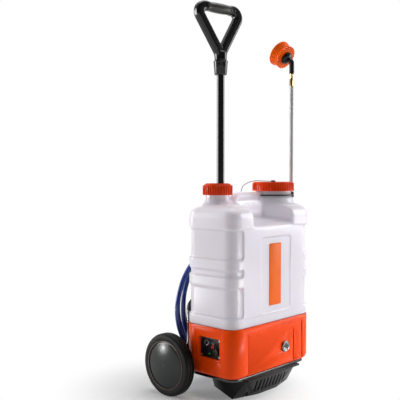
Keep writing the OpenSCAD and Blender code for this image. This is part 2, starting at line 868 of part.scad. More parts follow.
module hub_cap(side) {
    r = bead_r - seat_gap - 4;
    sphere_r = (r * r + cap_dome_h * cap_dome_h) / (2 * cap_dome_h);
    color(hub_grey) on_wheel(side) translate([0, 0, wheel_w - 3]) difference() {
        intersection() {
            cylinder(r = r, h = cap_dome_h + 4);
            translate([0, 0, cap_dome_h + 2 - sphere_r]) sphere(sphere_r, $fn = 128);
        }
        translate([0, 0, -1]) cylinder(r = rim_r - 3, h = 2.5);
        translate([0, 0, cap_dome_h - 0.6 - sphere_r]) intersection() {
            sphere(sphere_r, $fn = 128);
            translate([0, 0, sphere_r - cap_dome_h]) cylinder(r = rim_r - 3, h = 3 * cap_dome_h);
        }
    }
}

// ---------------------------------------------------------------- controls, gauge and label

module control_panel() {
    color(black_plastic) difference() {
        translate([plate_x - seat_gap, panel_y, panel_z]) rotate([90, 0, 90])
            linear_extrude(plate_t) rounded_plan(panel_w - 1, panel_h - 1, 4.5);
        panel_openings(plate_x - 2, plate_t + 4);
    }
}

module panel_screws() {
    color(steel) for (p = panel_screw_places()) translate([plate_x - 2.2, p[0], p[1]]) difference() {
        union() {
            cyl_x(screw_head_r, 2);
            cyl_x(screw_r, plate_t + base_wall + 4);
        }
        translate([-0.5, -2.2, -0.4]) cube([1.3, 4.4, 0.8]);
        translate([-0.5, -0.4, -2.2]) cube([1.3, 0.8, 4.4]);
    }
}

module switch_frame() {
    color(black_plastic) translate([plate_x - seat_gap, switch_y, switch_z]) difference() {
        union() {
            translate([-frame_rim, -switch_w / 2 - 2, -switch_tall / 2 - 2])
                cube([frame_rim - eps, switch_w + 4, switch_tall + 4]);
            translate([-frame_rim, -switch_w / 2, -switch_tall / 2])
                cube([frame_rim + 16, switch_w, switch_tall]);
        }
        translate([-frame_rim - 1, -switch_w / 2 + frame_wall, -switch_tall / 2 + frame_wall])
            cube([frame_rim + 18, switch_w - 2 * frame_wall, switch_tall - 2 * frame_wall]);
        translate([rocker_x - plate_x + seat_gap, -switch_w / 2 - 1, 0])
            cyl_y(rocker_pin_r + run_fit, switch_w + 2);
    }
}

// Rocker, pivoted in the middle of its frame, with its upper half pressed in
module switch_rocker() {
    half_h = switch_tall / 2 - frame_wall - rocker_gap;
    half_w = switch_w / 2 - frame_wall - rocker_gap;
    pin_half = switch_w / 2 - 0.3;
    color("red") translate([rocker_x, switch_y, switch_z]) {
        rotate([90, 0, 0]) translate([0, 0, -half_w]) linear_extrude(2 * half_w) intersection() {
            polygon([
                [-3, half_h], [-3.6, 0], [-6.5, -half_h + 1.5], [-6, -half_h], [4, -half_h], [4, half_h]
            ]);
            circle(half_h);
        }
        translate([0, -pin_half, 0]) cyl_y(rocker_pin_r, 2 * pin_half);
    }
}

module charge_socket() {
    color(black_plastic) translate([plate_x - 5, socket_y, socket_z]) {
        difference() {
            cyl_x(socket_r - seat_gap, 22);
            translate([-1, 0, 0]) cyl_x(3.6, 11);
        }
        translate([2, 0, 0]) cyl_x(1.2, 14);
    }
}

module charge_nut() {
    color(steel) translate([plate_x - seat_gap - 5, socket_y, socket_z]) rotate([0, 90, 0])
        difference() {
        union() {
            linear_extrude(3) ribbed_disc(socket_nut_r - 1, 20, 0.8);
            translate([0, 0, 3 - eps]) cylinder(r = socket_nut_r - 0.5, h = 2 + eps);
        }
        translate([0, 0, -1]) cylinder(r = socket_r, h = 8);
    }
}

module speed_knob() {
    color(black_plastic) translate([plate_x - seat_gap, knob_y, knob_z]) rotate([0, -90, 0]) {
        translate([0, 0, 0.6]) difference() {
            linear_extrude(knob_h - 0.6) ribbed_disc(knob_r - 0.6, 18, 1);
            translate([-0.7, 2, knob_h - 1.6]) cube([1.4, knob_r, 2]);
        }
        translate([0, 0, -plate_t - base_wall - 4])
            cylinder(r = knob_shaft_r, h = plate_t + base_wall + 5);
    }
}

module indicator_lamp() {
    color("lime") translate([plate_x - seat_gap, lamp_y, lamp_z]) {
        translate([-1, 0, 0]) cyl_x(lamp_r, plate_t + 4);
        translate([-1, 0, 0]) intersection() {
            sphere(lamp_r);
            translate([-5, -5, -5]) cube([5.5, 10, 10]);
        }
    }
}

module gauge_bezel() {
    color(steel) translate([gauge_x, -rear_y - 5, gauge_z]) rotate([-90, 0, 0]) rotate_extrude()
        polygon([
            [gauge_body_r - 1, 0.8], [gauge_r - 2, 0], [gauge_r - 0.6, 1], [gauge_r, 2.5],
            [gauge_r, 5 + 1.2 - seat_gap], [gauge_body_r + seat_gap, 5 + 1.2 - seat_gap],
            [gauge_body_r + seat_gap, 2.4], [gauge_body_r - 1, 2.4]
        ]);
}

module gauge_face() {
    color(black_plastic) translate([gauge_x, -rear_y - 5, gauge_z]) {
        translate([0, 2.6, 0]) cyl_y(gauge_body_r, gauge_depth);
        translate([0, 1, 0]) cyl_y(gauge_body_r - 1.2, 2);
    }
}

module label_plate() {
    color([0.95, 0.47, 0.12]) translate([label_x, frame_floor_y, label_z]) rotate([90, 0, 0])
        linear_extrude(label_t) rounded_plan(label_w, label_h, 2);
}

// ---------------------------------------------------------------- telescopic handle

module handle_sleeve() {
    color(steel) translate([pole_x, handle_y, sleeve_z])
        tube_z(sleeve_r, sleeve_in_r, sleeve_top_z - sleeve_z);
}

module handle_guide() {
    color(orange) difference() {
        union() {
            translate([handle_x, handle_y, neck_rim_z])
                cylinder(r = handle_neck_r - 1, h = guide_flange_h);
            translate([handle_x, handle_y, neck_rim_z])
                cylinder(r = guide_disc_r, h = guide_flange_h + cap_lip + guide_disc_rise);
            translate([pole_x, handle_y, neck_rim_z - guide_spigot_h])
                cylinder(r = tunnel_r - seat_gap, h = guide_spigot_h + 1);
        }
        translate([pole_x, handle_y, neck_rim_z - guide_spigot_h - 1])
            cylinder(r = pole_r + run_fit, h = guide_spigot_h + 30);
    }
}

module handle_cap() {
    inner = handle_neck_r + loose_fit;
    color(orange) translate([handle_x, handle_y, cap_z]) difference() {
        union() {
            linear_extrude(cap_h - cap_bevel) ribbed_disc(cap_r, 36, 2);
            translate([0, 0, cap_h - cap_bevel - eps])
                cylinder(r1 = cap_r - 2, r2 = cap_r - 5.5, h = cap_bevel + eps);
        }
        translate([0, 0, -1]) cylinder(r = inner, h = cap_h - cap_lip + 1);
        translate([0, 0, -1]) cylinder(r = guide_disc_r + loose_fit, h = cap_h + 2);
    }
}

module handle_pole() {
    color(black_plastic) translate([pole_x, handle_y, pole_z]) tube_z(pole_r, pole_r - 1.5, pole_len);
}

module pole_bush() {
    color(black_plastic) translate([pole_x, handle_y, pole_z - 3]) {
        cylinder(r = sleeve_in_r - run_fit, h = 3 - seat_gap);
        cylinder(r = pole_r - 1.5 - run_fit, h = bush_h);
    }
}

module handle_ferrule() {
    color(black_plastic) translate([pole_x, handle_y, ferrule_z]) difference() {
        rotate_extrude() polygon([
            [0, 0], [ferrule_low_r, 0], [ferrule_low_r + 1.5, 2], [ferrule_r - 0.5, ferrule_h - 6],
            [ferrule_r, ferrule_h - 4], [ferrule_r, ferrule_h - 1.5], [ferrule_r - 1.5, ferrule_h],
            [0, ferrule_h]
        ]);
        translate([0, 0, -1]) cylinder(r = pole_r + run_fit, h = ferrule_socket + 1);
    }
}

// Centre line of one half of the grip's frame, from the bar down into its neck
grip_corner = [grip_half_w, grip_h];
grip_apex = [0, grip_apex_rise];
grip_end = palm_len / 2 + 1;
grip_path = concat(
    [[grip_end, grip_h]],
    fillet_arc([0, grip_h], grip_corner, grip_apex, grip_corner_r, 8),
    [grip_apex + [9, 13.5], grip_apex - [1, 1.5]]
);

module on_grip() { translate([pole_x, handle_y, grip_z]) rotate([-grip_lean, 0, -grip_turn]) children(); }

module handle_grip() {
    half = palm_len / 2;
    steps = 10;
    // bar's outline, thicker in the middle
    palm = [
        for (i = [0:steps])
            let (z = half * (2 * i / steps - 1)) [palm_r + palm_swell * cos(90 * z / half), z]
    ];
    color(black_plastic) {
        on_grip() {
            for (s = [-1, 1]) let (arm = [for (p = grip_path) [s * p[0], 0, p[1]]])
                sweep(arm, grip_depth_r, grip_arm_r, 16, squareness = 0.65);
            translate([0, 0, grip_h]) rotate([0, 90, 0]) rotate_extrude()
                polygon(concat([[0, -grip_end - 2]], palm, [[0, grip_end + 2]]));
        }
        translate([pole_x, handle_y, grip_z + seat_gap])
            cylinder(r = grip_neck_r, h = grip_apex_rise + 6);
    }
}

// ---------------------------------------------------------------- filler lid and strainer

module filler_lid() {
    inner = filler_r + loose_fit;
    color(orange) translate([filler_x, 0, lid_z]) difference() {
        union() {
            linear_extrude(lid_h - 4) ribbed_disc(lid_r, 48, 1.8);
            cylinder(r = lid_r + 1.8, h = 4);
            translate([0, 0, lid_h - 4 - eps])
                cylinder(r1 = lid_r - 0.8, r2 = lid_r - 2.5, h = 4 + eps);
        }
        translate([0, 0, -1]) cylinder(r = inner, h = lid_h - lid_wall + 1);
        translate([0, 0, -1]) cylinder(r = button_stem_r + run_fit, h = lid_h + 2);
    }
}

module lid_gasket() {
    color(black_plastic) translate([filler_x, 0, filler_rim_z + basket_flange_h + seat_gap / 2])
        tube_z(filler_r - 0.5, filler_r - 7, gasket_h - seat_gap);
}

module vent_button() {
    low_z = filler_rim_z + basket_flange_h + seat_gap / 2;
    color(black_plastic) translate([filler_x, 0, 0]) {
        translate([0, 0, low_z]) cylinder(r = button_r, h = gasket_h - seat_gap);
        translate([0, 0, low_z]) cylinder(r = button_stem_r, h = lid_top_z - low_z + 1);
        translate([0, 0, lid_top_z + seat_gap]) rotate_extrude()
            polygon([[0, 0], [button_r, 0], [button_r, 2], [button_r - 2.5, 4.5], [0, 5]]);
    }
}

module lid_tether() {
    edge = filler_x - lid_r;
    z = lid_top_z + 2.2;
    bar_top = top_z + bar_rise + bar_r;
    color(black_plastic) sweep([
        [filler_x - button_r - 0.3, 0, z], [edge + 8, 2, z + 1.2], [edge - 8, 4, z + 2],
        [edge - 26, 7, z + 1], [edge - 44, 11, z - 3], [edge - 58, 14, z - 9],
        [edge - 67, 17, z - 17], [edge - 71, bar_y, bar_top + 1.2]
    ], tether_r, tether_r, 8);
}

module strainer_basket() {
    r = filler_r - neck_wall - 1;
    depth = 62;
    color(black_plastic) translate([filler_x, 0, filler_rim_z]) {
        tube_z(filler_r - 0.5, r - 3, basket_flange_h);
        difference() {
            translate([0, 0, -depth]) cylinder(r1 = r - 5, r2 = r, h = depth + eps);
            translate([0, 0, -depth + 2]) cylinder(r1 = r - 7, r2 = r - 2, h = depth + 1);
            for (a = [0:30:330], z = [0, 1, 2]) rotate(a)
                translate([r - 12, -7, -depth + 8 + z * 17]) cube([20, 14, 11]);
        }
    }
}

// ---------------------------------------------------------------- lance and gun

module neck_clip() {
    far = [lance_x - filler_x, lance_y];
    reach = norm(far);
    aim = atan2(far[1], far[0]);
    color(black_plastic) translate([filler_x, 0, clip_z]) difference() {
        union() {
            tube_z(filler_r + seat_gap + clip_ring, filler_r + seat_gap, clip_ring_h);
            rotate(aim) translate([filler_r + 2, -4, 0])
                cube([reach - filler_r - 2 - lance_r, 8, clip_ring_h]);
            translate([far[0], far[1], -8]) cylinder(r = lance_r + 3, h = 18);
        }
        translate([far[0], far[1], -9]) cylinder(r = lance_r + run_fit, h = 20);
        rotate(aim) translate([reach, -3, -9]) cube([20, 6, 20]);
        // open where the carry bar meets the neck
        translate([-filler_r - 10, bar_y - bar_r - 2, -1]) cube([40, 2 * bar_r + 4, clip_ring_h + 2]);
    }
}

module lance_tube() {
    color(steel) translate([lance_x, lance_y, lance_z]) tube_z(lance_r, lance_r - 1.2, lance_len);
}

module lance_nut() {
    color(brass) translate([lance_x, lance_y, nut_z]) difference() {
        union() {
            cylinder(r = nut_r, h = nut_h, $fn = 6);
            translate([0, 0, nut_h - eps]) cylinder(r = nut_neck_r, h = nut_neck_h + 10);
            translate([0, 0, nut_h + nut_neck_h - 3.2]) cylinder(r = nut_neck_r + 1.5, h = 3);
        }
        translate([0, 0, -1]) cylinder(r = lance_r + run_fit, h = nut_grip + 1);
        translate([0, 0, nut_grip - 1]) cylinder(r = 2.5, h = nut_h + nut_neck_h);
    }
}

// Places along the bent axis of the elbow
elbow_end_y = lance_y + elbow_bend_r * (1 - sin(head_tilt));
elbow_end_z = elbow_z + elbow_bend_r * cos(head_tilt);

module on_head() {
    translate([lance_x, elbow_end_y, elbow_end_z]) rotate([head_tilt - 90, 0, 0]) children();
}

module lance_elbow() {
    steps = 7;
    turn = 90 - head_tilt;
    path = concat(
        [[lance_x, lance_y, elbow_foot_z], [lance_x, lance_y, elbow_z - 4]],
        [for (i = [0:steps]) let (a = turn * i / steps)
            [lance_x, lance_y + elbow_bend_r * (1 - cos(a)), elbow_z + elbow_bend_r * sin(a)]],
        [[lance_x, elbow_end_y + elbow_stub * cos(head_tilt), elbow_end_z + elbow_stub * sin(head_tilt)]]
    );
    color(black_plastic) difference() {
        sweep(path, elbow_r, elbow_r, 20, [1, 0, 0]);
        translate([lance_x, lance_y, elbow_foot_z - 1]) cylinder(r = nut_neck_r + run_fit, h = 11.5);
    }
}

module head_coupling() {
    color(black_plastic) on_head() translate([0, 0, elbow_stub + seat_gap]) rotate_extrude() polygon([
        [0, 0], [elbow_r + 2, 0], [coupling_r - 4, 2.5], [coupling_r - 1, 6], [coupling_r, 10],
        [coupling_r, coupling_h], [0, coupling_h]
    ]);
}

head_seat = elbow_stub + coupling_h + 2 * seat_gap;
head_wall = 3;
plate_rise = 12;

module spray_head() {
    teeth = 24;
    color(orange) on_head() translate([0, 0, head_seat]) difference() {
        union() {
            linear_extrude(7) {
                circle(head_r - 6);
                for (i = [0:teeth - 1]) rotate(360 * i / teeth)
                    translate([head_r - 7, -2]) square([3.5, 4]);
            }
            translate([0, 0, 7 - eps]) cylinder(r1 = head_r - 8, r2 = head_r, h = head_h - 7 - 4);
            translate([0, 0, head_h - 4 - 2 * eps]) cylinder(r = head_r, h = 4);
        }
        translate([0, 0, head_wall])
            cylinder(r1 = head_r - 12, r2 = head_r - head_wall, h = head_h - head_wall + eps);
        translate([0, 0, -1]) cylinder(r = 6, h = 10);
    }
}

module spray_plate() {
    z = head_seat + plate_rise;
    r = head_r - 12 + 9 * (plate_rise - head_wall) / (head_h - head_wall) - seat_gap;
    color(orange) on_head() translate([0, 0, z]) difference() {
        union() {
            cylinder(r = r, h = 3);
            translate([0, 0, -9]) cylinder(r = 5.9, h = 10);
            translate([0, 0, 3 - eps]) cylinder(r1 = 12, r2 = 9, h = 8);
        }
        for (ring = [[12, r - 5], [8, r - 12]], i = [0:ring[0] - 1])
            rotate(360 * i / ring[0]) translate([ring[1], 0, -1]) cylinder(r = 1.1, h = 5, $fn = 16);
        translate([0, 0, -10]) cylinder(r = 1.5, h = 30, $fn = 16);
    }
}

// Left face of an ear beside the trigger
function ear_x(s) = s > 0 ? trigger_w / 2 + seat_gap : -trigger_w / 2 - ear_wall - seat_gap;

module gun_body() {
    color(black_plastic) translate([lance_x, lance_y, 0]) difference() {
        union() {
            translate([0, 0, gun_z]) cylinder(r = gun_r, h = gun_len - gun_block_h + 4);
            translate([0, 0, gun_top_z - gun_block_h]) cylinder(r = gun_block_r - 1, h = gun_block_h);
            // ears that hold the trigger
            for (s = [-1, 1])
                translate([ear_x(s), 0, trigger_z - 7]) {
                    cube([ear_wall, trigger_y - lance_y, 14]);
                    translate([0, trigger_y - lance_y, 7]) cyl_x(7, ear_wall);
                }
            // finger rings of the grip
            for (rise = [14, 36, 80]) translate([0, 0, gun_z + rise]) rotate_extrude()
                translate([gun_r - 1, 0]) circle(1.6, $fn = 16);
        }
        translate([0, 0, gun_top_z - lance_socket - seat_gap])
            cylinder(r = lance_r + run_fit, h = lance_socket + 1);
        translate([-20, trigger_y - lance_y, trigger_z]) cyl_x(pin_r + run_fit, 40);
        translate([0, 0, gun_z - 1]) cylinder(r = 4, h = gun_len - lance_socket);
    }
}

module gun_nut() {
    color(brass) translate([lance_x, lance_y, gun_z - hose_nut_h]) difference() {
        cylinder(r = 11, h = hose_nut_h - seat_gap, $fn = 6);
        translate([0, 0, -1]) cylinder(r = 4, h = 30);
    }
}

// Lever of the gun, hanging beside the grip
module trigger() {
    lever = 96;
    color(orange) translate([lance_x, trigger_y, trigger_z]) difference() {
        union() {
            translate([-trigger_w / 2, 0, 0]) cyl_x(5.5, trigger_w);
            rotate([90, 0, 90]) translate([0, 0, -trigger_w / 2]) linear_extrude(trigger_w)
                polygon([
                    [5.5, 0], [9, -14], [20, -lever * 0.55], [26, -lever + 4], [23, -lever],
                    [19, -lever + 3], [13, -lever * 0.5], [3, -16], [-2.5, -6], [-5.5, 0]
                ]);
        }
        translate([-20, 0, 0]) cyl_x(pin_r + run_fit, 40);
    }
}

module trigger_pin() {
    half = trigger_w / 2 + ear_wall + seat_gap + 1.5;
    color(steel) translate([lance_x - half, trigger_y, trigger_z]) {
        cyl_x(pin_r, 2 * half);
        translate([2 * half - 1.3 + eps, 0, 0]) cyl_x(pin_r + 1.5, 1.3);
        cyl_x(pin_r + 1.5, 1.3);
    }
}

// Clip on the tank's side that holds the gun's grip
module gun_rest() {
    face_x = side_x - 1.5 + seat_gap;
    color(black_plastic) translate([0, lance_y, rest_z - rest_h / 2]) difference() {
        union() {
            translate([lance_x, 0, 0]) cylinder(r = gun_r + seat_gap + 3, h = rest_h);
            translate([face_x, -16, -4]) cube([3, 32, rest_h + 8]);
        }
        translate([lance_x, 0, -1]) cylinder(r = gun_r + seat_gap, h = rest_h + 2);
        translate([lance_x + 4, -8, -1]) cube([20, 16, rest_h + 2]);
        translate([face_x - 20, -40, -10]) cube([20, 80, rest_h + 20]);
    }
}

// ---------------------------------------------------------------- hose

function coil_angle(t) = 270 - 360 * t;
function coil_point(t) = [
    lookup(t, coil_x_rule) + coil_r * cos(coil_angle(t)),
    coil_pitch * floor(t) + lookup(t - floor(t), turn_y_rule),
    coil_z + coil_r * sin(coil_angle(t))
];
coil_path = concat(
    [coil_point(0) + [straight_end, 0, 0]],
    [for (i = [0:coil_turns * turn_steps]) coil_point(i / turn_steps)],
    [coil_point(coil_turns) + [straight_end, 0, 0]]
);

// Least gap between two turns, measured on the centre line's points
coil_gap = min([
    for (i = [0:len(coil_path) - 1], j = [i + turn_steps / 2:len(coil_path) - 1])
        norm(coil_path[i] - coil_path[j]) - 2 * hose_r
]);
echo(least_gap_between_coil_turns = coil_gap);

module hose_coil() { color(hose_blue) sweep(coil_path, hose_r, hose_r, 6); }

module hose_outlet_run() { color(hose_blue) sweep(outlet_route, hose_r, hose_r, 8); }

module hose_gun_run() { color(hose_blue) sweep(gun_route, hose_r, hose_r, 8); }

// Elbow that leads the hose out of the base, sideways
module hose_outlet() {
    color(brass) {
        translate([outlet_x, rear_y - base_wall - 10, outlet_z])
            cyl_y(outlet_r, outlet_y - rear_y + base_wall + 10);
        translate([outlet_x, rear_y - base_wall - 5, outlet_z]) cyl_y(outlet_r + 4, 5 - seat_gap);
        translate([outlet_x, outlet_y, outlet_z]) sphere(outlet_r);
        translate([outlet_nut_x + 5, outlet_y, outlet_z]) cyl_x(outlet_r, outlet_x - outlet_nut_x - 5);
        translate([outlet_nut_x, outlet_y, outlet_z]) rotate([0, 90, 0])
            cylinder(r = 8.6, h = 10, $fn = 6);
    }
}

// Hook on the tank's rear, under the tops of the coil's turns
module hose_hook() {
    face_y = rear_y - 1.5 + seat_gap;
    arm_top = coil_z + coil_r - hose_r - 5.5;
    arm_end = 192;
    color(black_plastic) translate([hook_x - hook_w / 2, 0, 0]) {
        translate([-6, face_y, arm_top - 34]) cube([hook_w + 12, hook_t, 68]);
        translate([-6, face_y - band_step, seat_z + mid_band_z + mid_band_h + 9])
            cube([hook_w + 12, hook_t, arm_top + 34 - seat_z - mid_band_z - mid_band_h - 9]);
        translate([0, face_y, arm_top - 8]) cube([hook_w, arm_end - face_y, 8]);
        translate([0, arm_end - 6, arm_top - 8]) cube([hook_w, 6, 30]);
    }
}

// ---------------------------------------------------------------- inside the base

filter_x = 10;
filter_y = 30;
filter_r = 10;
battery_len = 151;
pump_x = -60;
pump_y = -45;
pump_leg = 12;
pump_case = [42, 60, 56];
pump_port_h = 14;
motor_len = 68;
motor_r = 27;

// Battery, its right end beside the housing's inner wall
module battery() {
    battery_h = 94;
    from_side = 24;
    color(black_plastic)
        translate([side_x - from_side - battery_len, -rear_y + from_side, base_z + base_wall + seat_gap]) {
            cube([battery_len, 65, battery_h]);
            for (x = [14, battery_len - 14]) translate([x - 3, 26, battery_h - eps]) cube([6, 6, 6]);
        }
}

// Board of the speed control, upright behind the panel
module control_board() {
    board_w = 80;
    board_z = base_z + base_wall + 16;
    from_side = 38;
    color([0.1, 0.3, 0.15]) translate([from_side - side_x, panel_y - board_w / 2, 0]) {
        translate([0, 0, board_z]) cube([1.6, board_w, 60]);
        for (y = [8, board_w - 14]) translate([-2, y, base_z + base_wall + seat_gap]) cube([6, 6, 20]);
        // heat sink and the two large capacitors
        translate([1.6 - eps, 12, board_z + 24]) cube([10, 22, 26]);
        for (y = [48, 64]) translate([1.6 - eps, y, board_z + 40]) cyl_x(6, 12);
    }
}

module pump() {
    color(black_plastic) translate([pump_x, pump_y, base_z + base_wall + seat_gap]) {
        translate([0, -pump_case[1] / 2, pump_leg]) cube(pump_case);
        for (x = [6, pump_case[0] - 6], y = [-22, 22]) translate([x, y, 0])
            cylinder(r = 5, h = pump_leg + eps);
        for (y = [10, -12]) translate([20, y, pump_leg + pump_case[2] - eps])
            cylinder(r = 6, h = pump_port_h);
    }
}

module pump_motor() {
    motor_z = base_z + base_wall + pump_leg + motor_r + seat_gap;
    color(steel) translate([pump_x - motor_len, pump_y, motor_z]) {
        cyl_x(motor_r, motor_len - seat_gap);
        translate([-5, 0, 0]) cyl_x(8, 5 + eps);
    }
}

module suction_filter() {
    color(black_plastic) translate([filter_x, filter_y, seat_z]) {
        translate([0, 0, tank_wall + seat_gap]) cylinder(r = filter_r + 5, h = 3);
        difference() {
            translate([0, 0, tank_wall + 3]) cylinder(r = filter_r + 2, h = 30);
            for (a = [0:45:315], z = [0, 1, 2]) rotate(a)
                translate([filter_r - 1, -2.5, tank_wall + 7 + 8 * z]) cube([6, 5, 5]);
        }
        translate([0, 0, -18]) cylinder(r = filter_r - seat_gap, h = 18 + tank_wall + 2);
    }
}

// Suction tube from the filter and delivery tube to the outlet
module inner_hoses() {
    port_z = base_z + base_wall + seat_gap + pump_leg + pump_case[2] + pump_port_h + 0.2;
    color(hose_blue) {
        sweep([
            [filter_x, filter_y, seat_z - 18.2], [filter_x, filter_y, seat_z - 28],
            [filter_x - 4, filter_y - 3, seat_z - 35], [filter_x - 16, 12, seat_z - 38],
            [-28, -18, seat_z - 37], [-38, -31, port_z + 10], [-40, -35, port_z + 4], [-40, -35, port_z]
        ], 5, 5, 8);
        sweep([
            [-40, -57, port_z], [-40, -57, port_z + 8], [-44, -50, port_z + 16],
            [-58, -30, port_z + 16], [-66, -4, port_z], [-62, 20, port_z - 34], [-40, 44, port_z - 50],
            [-10, 58, outlet_z + 8], [30, 62, outlet_z], [outlet_x - 40, 62, outlet_z],
            [outlet_x - 14, 64, outlet_z], [outlet_x - 2, 71, outlet_z],
            [outlet_x, 78, outlet_z], [outlet_x, rear_y - base_wall - 10.2, outlet_z]
        ], 5, 5, 8, [1, 0, 0]);
    }
}

// ---------------------------------------------------------------- nodes

tank();
base_housing();
chassis();
front_foot();
foot_screws();
axle();
axle_washers();
wheel_clips();
tyre(-1);  // tyre_left
hub(-1);  // hub_left
hub_cap(-1);  // hub_cap_left
tyre(1);  // tyre_right
hub(1);  // hub_right
hub_cap(1);  // hub_cap_right
control_panel();
panel_screws();
switch_frame();
switch_rocker();
charge_socket();
charge_nut();
speed_knob();
indicator_lamp();
gauge_bezel();
gauge_face();
label_plate();
handle_sleeve();
handle_guide();
handle_cap();
handle_pole();
pole_bush();
handle_ferrule();
handle_grip();
filler_lid();
lid_gasket();
vent_button();
lid_tether();
strainer_basket();
neck_clip();
lance_tube();
lance_nut();
lance_elbow();
head_coupling();
spray_head();
spray_plate();
gun_body();
gun_nut();
trigger();
trigger_pin();
gun_rest();
hose_hook();
hose_outlet();
hose_outlet_run();
hose_coil();
hose_gun_run();
battery();
control_board();
pump();
pump_motor();
suction_filter();
inner_hoses();
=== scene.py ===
"""Looks of the wheeled sprayer cart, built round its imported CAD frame.

Blender's objects are in metres. The hose, tank, grip, strap and tubes are worked out in millimetres,
as in the part's source, and scaled by MM when they become objects. The frame's origin is on the
ground under the middle of the tank, -Y is the front and -X the side with the controls.
"""

import math

import bpy
import numpy as np
from mathutils import Matrix, Vector


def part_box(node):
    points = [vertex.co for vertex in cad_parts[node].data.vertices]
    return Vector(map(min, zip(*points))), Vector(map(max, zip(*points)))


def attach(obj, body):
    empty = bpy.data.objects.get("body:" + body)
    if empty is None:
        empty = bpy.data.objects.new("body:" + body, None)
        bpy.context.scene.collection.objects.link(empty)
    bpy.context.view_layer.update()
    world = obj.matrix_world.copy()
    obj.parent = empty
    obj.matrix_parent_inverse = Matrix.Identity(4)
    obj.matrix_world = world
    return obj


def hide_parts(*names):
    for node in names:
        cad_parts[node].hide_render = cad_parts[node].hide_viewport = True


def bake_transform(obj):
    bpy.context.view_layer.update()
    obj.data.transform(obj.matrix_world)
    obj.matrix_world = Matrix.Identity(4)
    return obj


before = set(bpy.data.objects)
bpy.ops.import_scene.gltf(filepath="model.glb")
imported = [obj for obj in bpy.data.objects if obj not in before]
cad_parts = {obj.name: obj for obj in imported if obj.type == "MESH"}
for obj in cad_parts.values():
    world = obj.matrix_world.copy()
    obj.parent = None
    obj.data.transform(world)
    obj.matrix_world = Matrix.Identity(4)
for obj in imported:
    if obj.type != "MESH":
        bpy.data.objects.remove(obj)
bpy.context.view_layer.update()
scene = bpy.context.scene
MM = 0.001

# ------------------------------------------------------------------ camera

CAMERA_PLACE = Vector((-1.6495, -1.3350, 0.6567))
CAMERA_FORWARD = Vector((0.7298, 0.6826, -0.0401))
CAMERA_UP = Vector((0.0293, 0.0274, 0.9990))
LENS, SENSOR_WIDTH = 62.69, 36


def add_camera():
    data = bpy.data.cameras.new("camera")
    data.lens, data.sensor_width = LENS, SENSOR_WIDTH
    cam = bpy.data.objects.new("camera", data)
    back = -CAMERA_FORWARD.normalized()
    right = CAMERA_UP.cross(back).normalized()
    up = back.cross(right)
    turn = Matrix((right, up, back)).transposed().to_4x4()
    cam.matrix_world = Matrix.Translation(CAMERA_PLACE) @ turn
    scene.collection.objects.link(cam)
    scene.camera = cam


add_camera()

# ------------------------------------------------------------------ materials

DRIFT_SPAN = 0.3, 0.7  # part of a noise over which a colour goes from its darkest to its lightest
TINT_SPAN = 0.52, 0.78  # part of a noise over which the tint comes in
TINT_DETAIL = 6
ROUGH_SCALE, ROUGH_DETAIL = 60, 5
BUMP_DETAIL = 2
COAT_ROUGH = 0.1
SCATTER = (1.0, 0.85, 0.8)  # how far red, green and blue light spreads under the surface


